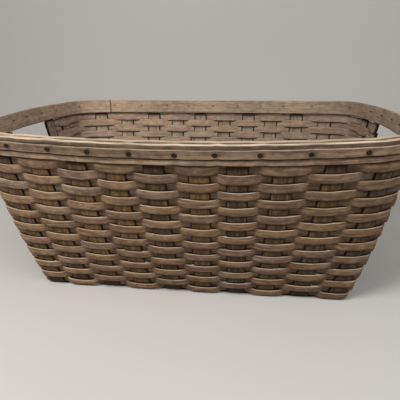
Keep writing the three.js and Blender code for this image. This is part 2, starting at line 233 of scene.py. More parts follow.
ring = [standing(angle_on_side, -1, b, r) for b, r in zip(CROSS_BASE, CROSS_NEAR)]
ring += [standing(angle_on_end, 1, b, r) for b, r in zip(LONG_BASE, LONG_RIM)]
ring += [standing(angle_on_side, 1, b, r) for b, r in zip(CROSS_BASE[::-1], CROSS_FAR[::-1])]
ring += [standing(angle_on_end, -1, b, r) for b, r in zip(LONG_BASE[::-1], LONG_RIM[::-1])]
RING = np.array(ring)
BASE_ANGLES, RIM_ANGLES = RING[:, 0], RING[:, 1]
FEET, HEADS = RING[:, 2:4], RING[:, 4:6]
FIRST_RIGHT = CROSS_SPLINTS
FIRST_FAR = CROSS_SPLINTS + LONG_SPLINTS
FIRST_LEFT = 2 * CROSS_SPLINTS + LONG_SPLINTS
print("first splint, foot and head, mm:", FEET[0].round(), HEADS[0].round())


# %% [markdown]
# The wall is read at a place `u` and a height. `u` counts splints round the basket, anticlockwise from
# the near left. Its whole number is the splint. Its first half is the splint's own width, and its
# second half is the gap to the next one.

# %% One splint's place in its wall, at any height
SLOPE_STEP = 2.0


def flare_at(height):
    share = height / RIM_HEIGHT
    return share + WALL_SWELL * share * (1 - share)


def splint_middle(splint, height):
    share = flare_at(height)[..., None]
    middle = FEET[splint] * (1 - share) + HEADS[splint] * share
    angle = BASE_ANGLES[splint] * (1 - share[..., 0]) + RIM_ANGLES[splint] * share[..., 0]
    return middle, np.stack([-np.sin(angle), np.cos(angle)], axis=-1)


def lifted(flat, height):
    share = flare_at(height)
    half_length = (BASE_LENGTH * (1 - share) + (RIM_LENGTH - 2 * BAND_OUT) * share) / 2
    dip = RIM_SAG * height / RIM_HEIGHT
    z = height - dip * (1 - (flat[..., 0] / half_length) ** 2)
    return np.concatenate([flat, z[..., None]], axis=-1)


def unit(vectors):
    return vectors / np.linalg.norm(vectors, axis=-1, keepdims=True)


def splint_normal(splint, height):
    _, along = splint_middle(splint, height)
    above = lifted(splint_middle(splint, height + SLOPE_STEP)[0], height + SLOPE_STEP)
    below = lifted(splint_middle(splint, height - SLOPE_STEP)[0], height - SLOPE_STEP)
    flat_along = np.concatenate([along, np.zeros_like(along[..., :1])], axis=-1)
    return unit(np.cross(flat_along, above - below))


print("first splint at half height, mm:", splint_middle(np.array([0]), np.array([150.0]))[0].round())


# %% The smooth curve from one splint to the next
def gap_share(place):
    """How far a place is across its gap: 0 on the splint before it and 1 at the next one."""
    return np.clip(2 * (place - np.floor(place)) - 1, 0, 1)


def gap_curve(splint, height, share):
    here, along_here = splint_middle(splint, height)
    after, along_after = splint_middle((splint + 1) % UPRIGHTS, height)
    start = here + along_here * SPLINT_WIDTH / 2
    end = after - along_after * SPLINT_WIDTH / 2
    chord = np.linalg.norm(end - start, axis=-1)
    turn = np.clip((along_here * along_after).sum(axis=-1), -0.6, 1)
    reach = (chord / np.sqrt((1 + turn) / 2))[..., None]
    s = share[..., None]
    curve = (
        (2 * s**3 - 3 * s**2 + 1) * start
        + (s**3 - 2 * s**2 + s) * along_here * reach
        + (3 * s**2 - 2 * s**3) * end
        + (s**3 - s**2) * along_after * reach
    )
    return curve, chord


def wall_flat(place, height):
    splint = np.floor(place).astype(int) % UPRIGHTS
    share = place - np.floor(place)
    middle, along = splint_middle(splint, height)
    on_splint = middle + along * ((2 * share - 0.5) * SPLINT_WIDTH)[..., None]
    in_gap, _ = gap_curve(splint, height, gap_share(place))
    return np.where((share < 0.5)[..., None], on_splint, in_gap)


def gap_width(splint, height):
    return gap_curve(np.array([splint]), np.array([height]), np.array([0.5]))[1][0]


print("gaps at half height, mm:", [round(gap_width(k, 150.0)) for k in range(16)])

# %% The wall at any place and height
PLACE_STEP = 0.01


def wall_at(place, height):
    """The wall's middle surface: points, outward directions and directions along the wall."""
    splint = np.floor(place).astype(int) % UPRIGHTS
    share = gap_share(place)[..., None]
    point = lifted(wall_flat(place, height), height)
    outward = splint_normal(splint, height) * (1 - share)
    outward = unit(outward + splint_normal((splint + 1) % UPRIGHTS, height) * share)
    along = wall_flat(place + PLACE_STEP, height) - wall_flat(place - PLACE_STEP, height)
    along = np.concatenate([along, np.zeros_like(along[..., :1])], axis=-1)
    return point, outward, unit(along)


print("mid near wall, mm:", wall_at(np.array([4.75]), np.array([150.0]))[0].round())


# %% How much height a strip takes up on the sloping wall
def rise_of(width, height):
    flare = (RIM_WIDTH - 2 * BAND_OUT - BASE_WIDTH) / 2
    slope = flare * (flare_at(height) - flare_at(height - SLOPE_STEP)) / SLOPE_STEP
    return width / np.hypot(1, slope)


BAND_TOP = RIM_HEIGHT - OUTER_BAND_DROP
BAND_BOTTOM = BAND_TOP - rise_of(BAND_HEIGHT, BAND_TOP)
ROW_PITCH = (BAND_BOTTOM - UNDER_BAND - FIRST_ROW) / (WEAVER_ROWS - 0.5)
WEAVER_WIDTH = ROW_PITCH - ROW_GAP
CLOSED_ROWS = WEAVER_ROWS - OPEN_ROWS


def row_height(row):
    return FIRST_ROW + (row - 1) * ROW_PITCH


print("row pitch, mm:", round(ROW_PITCH, 2), "weaver width, mm:", round(WEAVER_WIDTH, 2))


# %% [markdown]
# ## Straight stock, then bending
#
# A basket maker splits and shaves straight strips first and bends them afterwards. The same order works
# here. A flat grid is added, given its thickness and worn edges by modifiers, and only then laid along
# its way round the basket. Bending a finished strip with a Curve modifier is the usual way, but that
# modifier can't lean a strip with a wall that flares, so the vertices are laid by the wall's function.
#
# The straight coordinates are kept on the mesh as an attribute. The grain then follows each strip round
# every bend.

# %% Clean selections, and modifiers that are applied
def deselect_all():
    if bpy.context.object and bpy.context.object.mode != "OBJECT":
        bpy.ops.object.mode_set(mode="OBJECT")
    bpy.ops.object.select_all(action="DESELECT")


def apply_modifier(piece, kind, **settings):
    modifier = piece.modifiers.new(kind.lower(), kind)
    for key, value in settings.items():
        setattr(modifier, key, value)
    bpy.context.view_layer.objects.active = piece
    bpy.ops.object.modifier_apply(modifier=modifier.name)


deselect_all()
print("selected now:", len(bpy.context.selected_objects))


# %% Straight stock: a flat strip with thickness and worn edges
SEGMENT = 3.0


def straight_stock(name, length, width, thickness, lanes, worn):
    deselect_all()
    steps = round(length / SEGMENT)
    bpy.ops.mesh.primitive_grid_add(x_subdivisions=steps, y_subdivisions=lanes, size=1)
    strip = bpy.context.object
    strip.name = name
    strip.data.name = name
    bpy.ops.object.mode_set(mode="EDIT")
    bpy.ops.mesh.select_all(action="SELECT")
    bpy.ops.transform.resize(value=(length, width, 1))
    bpy.ops.transform.translate(value=(length / 2, 0, 0))
    bpy.ops.object.mode_set(mode="OBJECT")
    apply_modifier(strip, "SOLIDIFY", thickness=thickness, offset=0)
    apply_modifier(strip, "BEVEL", width=worn, segments=2, limit_method="ANGLE", angle_limit=0.9)
    return strip


print("a strip is divided every", SEGMENT, "mm")


# %% Reading and moving vertices, and keeping marks on them
def vertices_of(piece):
    flat = np.empty(len(piece.data.vertices) * 3, dtype=np.float64)
    piece.data.vertices.foreach_get("co", flat)
    return flat.reshape(-1, 3)


def move_vertices(piece, positions):
    piece.data.vertices.foreach_set("co", (positions / METRE).astype(np.float32).ravel())
    piece.data.update()


def keep_vector(piece, name, values):
    attribute = piece.data.attributes.new(name, "FLOAT_VECTOR", "POINT")
    attribute.data.foreach_set("vector", values.astype(np.float32).ravel())


def keep_number(piece, name, values):
    attribute = piece.data.attributes.new(name, "FLOAT", "POINT")
    attribute.data.foreach_set("value", values.astype(np.float32).ravel())


sample = next(node for node in bpy.data.objects if node.type == "MESH")
print("vertices in a CAD node:", sample.name, len(vertices_of(sample)))


# %% [markdown]
# Hand-split wood is never even. `wander` gives a smooth, seeded run of small differences along a strip,
# so that each render gives the same basket.

# %% Small seeded differences
KNOTS = 4096
KNOTS_BEFORE = 7


def eased(share):
    return share * share * (3 - 2 * share)


def smooth_run(seed, count, spot, size):
    knots = np.random.default_rng(seed).uniform(-1, 1, count)
    low = np.floor(spot).astype(int)
    share = eased(spot - low)
    return size * (knots[low % count] * (1 - share) + knots[(low + 1) % count] * share)


def wander(seed, distance, wavelength, size):
    return smooth_run(seed, KNOTS, distance / wavelength + KNOTS_BEFORE, size)


def wander_round(seed, place, knots_round, size):
    """The same, but joined up after one round of the basket."""
    return smooth_run(seed, knots_round, place / UPRIGHTS * knots_round, size)


print("a top edge wanders, mm:", wander(1, np.arange(0.0, 120.0, 20.0), 26, 0.3).round(2))


# %% A strip's cup, its shading and the marks of its grain
CUP = 0.3
FACE_SHARPNESS = 1.3


def cupped(across):
    """How far a cupped strip stands out. `across` runs from -1 at one edge to 1 at the other."""
    return CUP * (1 - across**2) - CUP / 2


def smooth_shade(piece, degrees=40):
    deselect_all()
    piece.select_set(True)
    bpy.context.view_layer.objects.active = piece
    bpy.ops.object.shade_smooth_by_angle(angle=math.radians(degrees))


def run_length(points):
    return np.concatenate([[0], np.cumsum(np.linalg.norm(np.diff(points, axis=0), axis=1))])


def mark_grain(piece, straight, width, seed):
    number = np.full(len(straight), float(seed))
    way = np.stack([straight[:, 0] / METRE, straight[:, 1] / METRE, number], axis=1)
    keep_vector(piece, "strip_way", way)
    keep_number(piece, "to_edge", (width / 2 - np.abs(straight[:, 1])) / METRE)
    keep_number(piece, "across", straight[:, 1] / width + 0.5)
    from_start = straight[:, 0]
    keep_number(piece, "to_end", np.minimum(from_start, from_start.max() - from_start) / METRE)
    deepest = np.abs(straight[:, 2]).max()
    keep_number(piece, "face", np.clip(straight[:, 2] / deepest * FACE_SHARPNESS, -1, 1))


def straight_run(piece):
    straight = np.empty(len(piece.data.vertices) * 3, dtype=np.float32)
    piece.data.attributes["strip_way"].data.foreach_get("vector", straight)
    return straight.reshape(-1, 3)[:, :2] * METRE


print("a strip's middle stands out by", CUP / 2, "mm")


# %% Laying a strip along a way of places, heights and distances from the wall
def lay_round(name, way, width, thickness, seed, lanes, worn, shape):
    """`way` holds dense arrays: place, height and out, and may hold thick, the share of the thickness."""
    point, outward, along = wall_at(way["place"], way["height"])
    middle = point + outward * way["out"][:, None]
    run = run_length(middle)
    slope = np.arctan2(np.gradient(way["out"]), np.gradient(run_length(point)))
    piece = straight_stock(name, run[-1], width, thickness, lanes, worn)
    straight = vertices_of(piece)
    mark_grain(piece, straight, width, seed)
    x, y, z = straight.T
    place = np.interp(x, run, way["place"])
    height = np.interp(x, run, way["height"])
    out = np.interp(x, run, way["out"])
    lean = np.interp(x, run, slope)
    z = z * np.interp(x, run, way.get("thick", np.ones_like(run)))
    keep_number(piece, "off_wall", out / METRE)
    keep_number(piece, "from_splint", from_splint(place, height) / METRE)
    y, z = shape(x, y, z, place, out)
    height = height + rise_of(1.0, height) * y
    keep_number(piece, "below_rim", (BAND_BOTTOM - height) / METRE)
    point, outward, along = wall_at(place, height)
    laid = point + outward * (out + z * np.cos(lean))[:, None]
    laid = laid - along * (z * np.sin(lean))[:, None]
    move_vertices(piece, laid)
    smooth_shade(piece)
    return piece, run


print("a millimetre of strip rises, mm:", round(rise_of(1.0, RIM_HEIGHT / 2), 3))


# %% [markdown]
# ## The weavers
#
# Nineteen rows of narrow strips pass outside one splint and inside the next. A row's distance from the
# wall swings between the two sides. A stiff strip stays flat against each splint and changes sides
# quickly in the middle of the gap, which gives the wall its look of blocks in brick bond.
#
# The rows are beaten down on each other. So two rows share one wavy border, and a row is a little wider
# where it passes a splint, where its neighbours lie on the other side and leave it room.
#
# One block could be modelled and repeated by an Array, but then no strip would run on through the wall.
# Here each row is one long strip, as it is in the basket.

# %% Which side a weaver takes
def weaver_side(row, splint):
    if row == WEAVER_ROWS - 1 and splint % UPRIGHTS == FIRST_LEFT + 1:
        return 1
    return -1 if (splint % UPRIGHTS + WEAVER_ROWS - row) % 2 == 0 else 1


print("row 1 at the first splints:", [weaver_side(1, splint) for splint in range(6)])

# %% Its swing from side to side
SWING = 2.3
SWING_VARIES = 0.4
INNER_SLACK = 0.3
CHANGE_SIDES = 3.0
CUT_UPRIGHTS = (FIRST_RIGHT + 2, FIRST_RIGHT + 3, FIRST_LEFT + 2, FIRST_LEFT + 3)
TUCKED_ROW = CLOSED_ROWS - 2
STUB_SWING = {TUCKED_ROW: 5.0, CLOSED_ROWS: 3.1}


def swing_at(row, splint):
    chance = np.random.default_rng(row * 100 + splint % UPRIGHTS)
    swing = SWING + chance.uniform(0, SWING_VARIES)
    return STUB_SWING.get(row, swing) if splint % UPRIGHTS in CUT_UPRIGHTS else swing


def sided_swing(row, splint):
    """Where a row passes inside, it lies slack and stands off the splint."""
    side = weaver_side(row, splint)
    return side * swing_at(row, splint) - INNER_SLACK * (side < 0)


def from_splint(place, height):
    """How far a spot in a gap is from the nearest splint's edge, and 0 behind a splint."""
    middle = np.mean(height)
    gaps = np.array([gap_width(splint, middle) for splint in range(UPRIGHTS)])
    share = gap_share(place)
    return np.minimum(share, 1 - share) * gaps[np.floor(place).astype(int) % UPRIGHTS]


def wave_out(row, place):
    """The distance of a weaver's middle from the wall's middle, at dense places."""
    height = row_height(row)
    out = np.empty_like(place)
    centre = np.floor(place - 0.25).astype(int)
    for splint in np.unique(centre):
        here = centre == splint
        gap = gap_width(splint % UPRIGHTS, height)
        knots = [0.25, 0.5, 1.0, 1.25]
        reach = [0, SPLINT_WIDTH / 2, SPLINT_WIDTH / 2 + gap, SPLINT_WIDTH + gap]
        fraction = np.interp(place[here] - splint, knots, reach) / (SPLINT_WIDTH + gap)
        turn = np.tanh(CHANGE_SIDES * np.cos(np.pi * fraction)) / math.tanh(CHANGE_SIDES)
        before, after = sided_swing(row, splint), sided_swing(row, splint + 1)
        out[here] = before * (1 + turn) / 2 + after * (1 - turn) / 2
    return out


print("row 1 from the wall's middle, mm:", wave_out(1, np.arange(0.25, 4.0, 0.5)).round(1))


# %% The ways of the closed rows, each overlapping itself somewhere on the far wall or the left end
LAP = 1.6
FIRST_LAP = 18.25
LAP_SHIFT = 0.35
LAP_SPREAD = 12
LAP_EASE = 4
LAP_APART = 0.5
LAP_THINNED = 0.42
WAY_STEP = 0.02


def closed_way(row):
    start = FIRST_LAP + (row * 5) % LAP_SPREAD + LAP_SHIFT
    end = start + UPRIGHTS + LAP
    place = np.arange(start, end, WAY_STEP)
    ease_start = np.clip((1 - (place - start) / LAP) * LAP_EASE, 0, 1)
    ease_end = np.clip((1 - (end - place) / LAP) * LAP_EASE, 0, 1)
    out = wave_out(row, place) - LAP_APART * ease_start + LAP_APART * ease_end
    thick = 1 - LAP_THINNED * np.maximum(ease_start, ease_end)
    return {"place": place, "height": np.full_like(place, row_height(row)), "out": out, "thick": thick}


print("laps of the closed rows start at", [round(closed_way(row)["place"][0], 1) for row in (1, 2, 3)])


# %% [markdown]
# The three top rows stop at the hand openings. Their ends are cut off near the free edge of the last
# splint, a little past it where the row lies outside, and spring away from it a little.

# %% The ways of the short rows
SPRING = 0.4
SPRING_REACH = 0.35
SHORT_STEP = 0.01
END_PAST = {1: 0.03, -1: 0.01}


def short_way(row, first, last):
    start = first - END_PAST[weaver_side(row, first)]
    end = last + 0.5 + END_PAST[weaver_side(row, last)]
    place = np.arange(start, end, SHORT_STEP)
    from_end = np.minimum(place - place[0], place[-1] - place)
    spring = SPRING * np.clip(1 - from_end / SPRING_REACH, 0, 1) ** 2
    out = wave_out(row, place)
    out = out + np.sign(out) * spring
    return {"place": place, "height": np.full_like(place, row_height(row)), "out": out}


print("a short row springs out by", SPRING, "mm at its ends")


# %% The border that two rows share
LONG_WAVES = (46, 0.55)
SHORT_WAVES = (150, 0.22)
TOP_BORDER = 1.05
SET_DOWN = 2.6
DIP = 2.0
FAR_DIP = 0.4
STUB_PRESS = 1.6


def on_far_wall(place):
    return (place % UPRIGHTS > FIRST_FAR - 0.5) & (place % UPRIGHTS < FIRST_LEFT)


def border(number, place):
    """How far the border above a row is off its even height."""
    wavy = wander_round(40 + number, place, *LONG_WAVES)
    wavy = wavy + wander_round(80 + number, place, *SHORT_WAVES)
    if number == WEAVER_ROWS:
        return 0.15 * wavy + TOP_BORDER
    depth = np.where(on_far_wall(place), FAR_DIP, DIP)
    dip = depth * (0.5 + 0.5 * np.cos(2 * np.pi * (place - 0.25)))
    if number == CLOSED_ROWS:
        for stub in CUT_UPRIGHTS:
            off = np.abs((place - stub - 0.25 + UPRIGHTS / 2) % UPRIGHTS - UPRIGHTS / 2)
            wavy = wavy - STUB_PRESS * np.clip(1.4 - off * 1.6, 0, 1)
    if number == 0:
        return 0.5 * wavy - SET_DOWN
    return wavy - dip


print("border above row 1 at the first splints, mm:", border(1, np.arange(5) + 0.25).round(1))


# %% The shape of a strip between its two borders
PASS_SPREAD = 0.85
FAR_PASS_SPREAD = 0.45
BEATEN_TIGHT = 0.16
TOP_ROW_SPREAD = 0.3
INSIDE_DROP = 2.8
FAR_INSIDE_DROP = 1.2
FIRST_ROW_SLIT = 3.0
LEAN = 0.02


def weaver_shape(row, seed):
    def shape(x, y, z, place, out):
        share = y / WEAVER_WIDTH + 0.5
        passing = np.clip((np.abs(out) - 0.7) / 0.9, 0, 1)
        far = on_far_wall(place)
        spread = np.where(far, FAR_PASS_SPREAD, PASS_SPREAD) * passing + wander(seed + 4, x, 6, 0.1)
        spread = spread + BEATEN_TIGHT
        top_spread = np.where(out > 0, 0.0, spread * (TOP_ROW_SPREAD if row == WEAVER_ROWS else 1))
        low, high = border(row - 1, place) - spread, border(row, place) + top_spread
        drop = np.where(far, FAR_INSIDE_DROP, INSIDE_DROP)
        low = low - drop * passing * (out < 0) * (row > 1)
        if row == 1:
            high = high - FIRST_ROW_SLIT * passing * (out > 0)
        lean = LEAN + wander(seed + 3, x, 60, 0.03)
        return y + low * (1 - share) + high * share, z - lean * y + cupped(2 * share - 1)

    return shape


print("a passing row is wider by, mm:", PASS_SPREAD, "and far away", FAR_PASS_SPREAD)


# %% Laying every weaver
WEAVER_SEED = 1000
WEAVER_LANES = 3
WEAVER_WORN = 0.45


def lay_weaver(name, node, row, way):
    seed = WEAVER_SEED + row * 10 + (5 if "back" in name else 0)
    piece, _ = lay_round(
        name, way, WEAVER_WIDTH, WEAVER_THICKNESS, seed / 10,
        WEAVER_LANES, WEAVER_WORN, weaver_shape(row, seed),
    )
    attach(piece, "root")
    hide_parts(node)
    return piece


weavers = []
for row in range(1, CLOSED_ROWS + 1):
    node = f"weaver_row_{row:02d}"
    weavers.append(lay_weaver(f"weaver_{row:02d}", node, row, closed_way(row)))
for row in range(CLOSED_ROWS + 1, WEAVER_ROWS + 1):
    front = short_way(row, FIRST_LEFT + 4 - UPRIGHTS, FIRST_RIGHT + 1)
    back = short_way(row, FIRST_RIGHT + 4, FIRST_LEFT + 1)
    weavers.append(lay_weaver(f"weaver_{row}_front", f"weaver_row_{row}_front", row, front))
    weavers.append(lay_weaver(f"weaver_{row}_back", f"weaver_row_{row}_back", row, back))
print("weavers:", len(weavers), "faces in one:", len(weavers[0].data.polygons))

# %% [markdown]
# ## The wide splints
#
# A cross splint comes down the near wall, runs straight under the base and goes up the far wall. A long
# splint does the same from end to end, over and under the cross splints. Soaked wood bends at the base
# in a small round, not in a crease, so each bend is a curve between the wall and the floor.
#
# The two long splints that meet a hand opening are cut there. Each stub is folded over the last full
# row and tucked down behind a lower one, as a maker does to stop the row from lifting.

# %% How a splint gives way to the rows
PUSH = 0.28


def splint_edges(splint, height):
    numbers = np.full(height.shape, splint)
    middle, along = splint_middle(numbers, height)
    half = along * SPLINT_WIDTH / 2
    return lifted(middle - half, height), lifted(middle + half, height)


def pushed(splint, height):
    """Each row that passes a splint pushes it a little the other way."""
    row = np.clip(np.round((height - FIRST_ROW) / ROW_PITCH) + 1, 1, WEAVER_ROWS)
    near_row = np.cos((height - row_height(row)) / ROW_PITCH * np.pi)
    sides = np.array([weaver_side(int(number), splint) for number in row])
    return -PUSH * sides * near_row * (height < BAND_BOTTOM)


def rows_at(splint, height):
    """Rows counted from one that bares the splint's outer face, so that even numbers are bare."""
    return (height - FIRST_ROW) / ROW_PITCH + 1 - (splint % UPRIGHTS + WEAVER_ROWS) % 2


print("first splint pushed by rows 1 to 4, mm:", pushed(0, row_height(np.arange(1, 5))).round(2))

# %% The way of a splint down a wall
FOOT = 13.0
WALL_STEP = 2.0
FOLD_RADIUS = 3.1
TUCK_PAST = 5.0
TUCK_OUT = (2.5, 2.6, 5.7, 6.2)


def wall_part(splint, swap):
    """Edge points from the top of a splint down to where its bend starts."""
    cut = splint % UPRIGHTS in CUT_UPRIGHTS
    row_top = row_height(CLOSED_ROWS) + rise_of(WEAVER_WIDTH, row_height(CLOSED_ROWS)) / 2
    top = row_top - STUB_PRESS if cut else BAND_TOP - 1
    height = np.arange(top, FOOT, -WALL_STEP)
    out = pushed(splint, height)
    if cut:
        side = weaver_side(CLOSED_ROWS, splint)
        end = row_height(TUCKED_ROW) - TUCK_PAST
        fold = np.linspace(np.pi, 0, 14)
        tuck = np.linspace(end, top, 18)[:-1]
        tuck_out = np.interp(tuck, [end, row_height(TUCKED_ROW) + 7, top - 14, top], TUCK_OUT)
        height = np.concatenate([tuck, top + FOLD_RADIUS * np.sin(fold), height[1:]])
        out = np.concatenate([side * tuck_out, side * FOLD_RADIUS * (1 - np.cos(fold)), out[1:]])
    left, right = splint_edges(splint, height)
    outward = splint_normal(np.full(height.shape, splint), height)
    if swap:
        left, right = right, left
    rows = rows_at(splint, height)
    if splint == FIRST_LEFT + 1:
        rows = np.where(height > row_height(CLOSED_ROWS + 0.5), 1.0, rows)
    return left + outward * out[:, None], right + outward * out[:, None], rows


print("points down a whole splint and a cut one:", [len(wall_part(k, False)[2]) for k in (0, 12)])

# %% The bend at the base
KNEE = 0.7


def bend(wall_end, wall_before, floor_point):
    """A round from the wall's last point to the first point on the floor."""
    down = wall_end - wall_before
    drop = (wall_end[2] - floor_point[2]) / -down[2]
    knee = wall_end + down * drop
    knee = knee * KNEE + floor_point * (1 - KNEE)
    share = np.linspace(0, 1, 10)[1:-1, None]
    return (1 - share) ** 2 * wall_end + 2 * share * (1 - share) * knee + share**2 * floor_point


def join_parts(wall_a, floor, wall_b):
    """Edge lines of one side of a splint: down wall a, over the floor and up wall b."""
    lines = []
    for side in (0, 1):
        a, b, base = wall_a[side], wall_b[side], floor[side]
        first = bend(a[-1], a[-2], base[0])
        second = bend(b[-1], b[-2], base[-1])[::-1]
        lines.append(np.concatenate([a, first, base, second, b[::-1]]))
    under = np.zeros(len(lines[0]) - len(wall_a[2]) - len(wall_b[2]))
    return lines + [np.concatenate([wall_a[2], under, wall_b[2][::-1]])]


print("share of the knee in a bend:", KNEE)

# %% Laying a splint between its two edge lines
SPLINT_LANES = 4
SPLINT_WORN = 0.5


def lay_splint(name, node, left, right, rows, seed, age):
    middle = (left + right) / 2
    run = run_length(middle)
    keep = np.concatenate([[True], np.diff(run) > 0.05])
    left, right, middle, run, rows = left[keep], right[keep], middle[keep], run[keep], rows[keep]
    piece = straight_stock(name, run[-1], SPLINT_WIDTH, SPLINT_THICKNESS, SPLINT_LANES, SPLINT_WORN)
    straight = vertices_of(piece)
    mark_grain(piece, straight, SPLINT_WIDTH, seed)
    x, y, z = straight.T
    row_here = np.interp(x, run, rows)
    keep_number(piece, "rows", row_here + (z < 0))
    keep_number(piece, "below_rim", (BAND_BOTTOM - np.interp(x, run, middle[:, 2])) / METRE)
    keep_number(piece, "age", np.full(len(x), age))
    tangent = unit(np.gradient(middle, run, axis=0))
    outward = unit(np.cross(tangent, right - left))

    def at(values):
        return np.stack([np.interp(x, run, values[:, axis]) for axis in range(3)], axis=1)

    across = (y / SPLINT_WIDTH * (1 + wander(seed * 7, x, 90, 0.02)))[:, None]
    depth = (z + cupped(2 * y / SPLINT_WIDTH))[:, None]
    move_vertices(piece, at(middle) + at(right - left) * across + unit(at(outward)) * depth)
    smooth_shade(piece)
    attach(piece, "root")
    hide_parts(node)
    return piece


print("lanes across a splint:", SPLINT_LANES)


# %% Cross splints: straight under the base
LAYER_STEP = SPLINT_THICKNESS + SEAT_GAP
CROSS_LEVEL = SPLINT_THICKNESS / 2 + LAYER_STEP
BEND_REACH = 9.0


def floor_edges(wall_a, wall_b, level, steps):
    """Both edge lines of a splint along the floor, from the foot of one wall to the other's."""
    edges = []
    for side in (0, 1):
        foot_a, foot_b = wall_a[side][-1], wall_b[side][-1]
        inward = unit((foot_b - foot_a) * [1, 1, 0])
        start, end = foot_a + inward * BEND_REACH, foot_b - inward * BEND_REACH
        start[2] = end[2] = level
        share = np.linspace(0, 1, steps)[:, None]
        edges.append(start * (1 - share) + end * share)
    return edges


CROSS_AGE = (0.5, 0.5, 0.35, 0.1, 0.9, 0.15, 1.0, 0.5, 0.6, 0.75)
CROSS_SEED = 31
splints = []
for index in range(CROSS_SPLINTS):
    near = wall_part(index, False)
    far = wall_part(FIRST_LEFT - 1 - index, True)
    floor = floor_edges(near, far, CROSS_LEVEL, 60)
    left, right, rows = join_parts(near, floor, far)
    name, node = f"splint_across_{index + 1:02d}", f"cross_splint_{index + 1:02d}"
    seed, age = CROSS_SEED + index, CROSS_AGE[index]
    splints.append(lay_splint(name, node, left, right, rows, seed, age))
print("cross splints:", len(splints))


# %% Long splints: over and under the cross splints
LONG_SEED = 51
LONG_AGE = 0.5


def woven_level(index, x):
    """The level of a long splint along the base. It is flat at each crossing and slopes between them."""
    knots, levels = [], []
    for cross, middle in enumerate(CROSS_BASE):
        level = -LAYER_STEP if (index + cross) % 2 == 0 else LAYER_STEP
        knots += [middle - SPLINT_WIDTH / 2, middle + SPLINT_WIDTH / 2]
        levels += [level, level]
    knots, levels = np.array(knots), np.array(levels)
    after = np.clip(np.searchsorted(knots, x), 1, len(knots) - 1)
    low, high = knots[after - 1], knots[after]
    share = eased(np.clip((x - low) / (high - low), 0, 1))
    return CROSS_LEVEL + levels[after - 1] * (1 - share) + levels[after] * share


for index in range(LONG_SPLINTS):
    left_wall = wall_part(UPRIGHTS - 1 - index, False)
    right_wall = wall_part(FIRST_RIGHT + index, True)
    floor = floor_edges(left_wall, right_wall, 0.0, 200)
    for line in floor:
        line[:, 2] = woven_level(index, line[:, 0])
    left, right, rows = join_parts(left_wall, floor, right_wall)
    name, node = f"splint_along_{index + 1:02d}", f"long_splint_{index + 1:02d}"
    splints.append(lay_splint(name, node, left, right, rows, LONG_SEED + index, LONG_AGE))
print("splints:", len(splints), "faces in one:", len(splints[-1].data.polygons))

# %% [markdown]
# ## The rim
#
# Two thick bands clamp the tops of the splints and lean with the wall. Each is one strip bent round the
# rim, with its ends shaved and laid on each other. The hoop over the outer band is narrower and
# thinner. All three keep the faint unevenness of shaved wood.
#
# A band could be a profile swept along a closed curve. It is bent from straight stock instead, so that
# it has two ends with their lap, and grain that runs along it.

# %% The way of a band, with its shaved ends
TIP = 2.1
LAP_PLACES = 2.0
LAP_GROOVE = 0.055
LAP_CLEARANCE = 0.1
BAND_LANES = 5
PINCH = 1.2
HOOP_TOP = BAND_TOP - rise_of(HOOP_DROP, BAND_TOP)


def pinched(place):
    """1 at a tack, in the middle of a gap, and 0 over a splint."""
    return np.sin(np.pi * gap_share(place)) ** 2


def band_way(top, width, inside, thickness, start):
    place = np.arange(start, start + UPRIGHTS + LAP_PLACES, WAY_STEP)
    lap_share = np.clip((place - start) / LAP_PLACES, 0, 1)
    second = np.clip((place - start - UPRIGHTS) / LAP_PLACES, 0, 1)
    lap_share = np.where(place > start + UPRIGHTS - LAP_GROOVE, second, lap_share)
    wedge = TIP + (thickness - 2 * TIP) * lap_share
    inner, outer = np.zeros_like(place), np.full_like(place, thickness)
    outer = np.where(place < start + LAP_PLACES, wedge - LAP_CLEARANCE, outer)
    inner = np.where(place > start + UPRIGHTS - LAP_GROOVE, wedge + LAP_CLEARANCE, inner)
    height = np.full_like(place, top - rise_of(width, top) / 2)
    out = inside + (inner + outer) / 2 - math.copysign(PINCH, inside) * pinched(place)
    return {"place": place, "height": height, "out": out, "thick": (outer - inner) / thickness}


print("the hoop's top edge, mm:", round(HOOP_TOP, 1))


# %% The bands and the hoop
def band_shape(seed, width, unevenness):
    def shape(x, y, z, place, out):
        top_edge = wander(seed, x, 120, unevenness) + wander(seed + 1, x, 26, unevenness * 0.3)
        low_edge = wander(seed + 2, x, 90, unevenness) + wander(seed + 3, x, 21, unevenness * 0.35)
        share = y / width + 0.5
        y = y + top_edge * share + low_edge * (1 - share)
        planed = wander(seed + 4, x + 3 * y, 33, 0.12)
        return y, z + planed * np.sign(z)

    return shape


def lay_band(name, node, way, width, thickness, seed, worn, unevenness):
    shape = band_shape(int(seed * 10), width, unevenness)
    piece, run = lay_round(name, way, width, thickness, seed, BAND_LANES, worn, shape)
    along = straight_run(piece)[:, 0]
    seam = np.interp(way["place"][0] + UPRIGHTS, way["place"], run)
    off_seam = np.minimum(np.abs(along - seam), along)
    keep_number(piece, "lap", np.clip(1.3 - off_seam / 1.5, 0, 1))
    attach(piece, "root")
    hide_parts(node)
    return piece, run


inner_way = band_way(RIM_HEIGHT, BAND_HEIGHT, -BAND_OUT, BAND_THICKNESS, FIRST_LEFT - 1.13)
outer_way = band_way(BAND_TOP, BAND_HEIGHT, BAND_IN, BAND_THICKNESS, 0.35)
hoop_way = band_way(HOOP_TOP, HOOP_HEIGHT, HOOP_IN, HOOP_THICKNESS, FIRST_FAR + 2)
inner_band, inner_run = lay_band(
    "rim_band_inner", "inner_rim_band", inner_way, BAND_HEIGHT, BAND_THICKNESS, 71.0, 0.9, 0.32
)
outer_band, outer_run = lay_band(
    "rim_band_outer", "outer_rim_band", outer_way, BAND_HEIGHT, BAND_THICKNESS, 83.0, 0.9, 0.32
)
hoop, hoop_run = lay_band(
    "rim_hoop", "nailed_hoop", hoop_way, HOOP_HEIGHT, HOOP_THICKNESS, 97.0, 0.8, 0.35
)
print("rim pieces, mm round:", round(inner_run[-1]), round(outer_run[-1]), round(hoop_run[-1]))

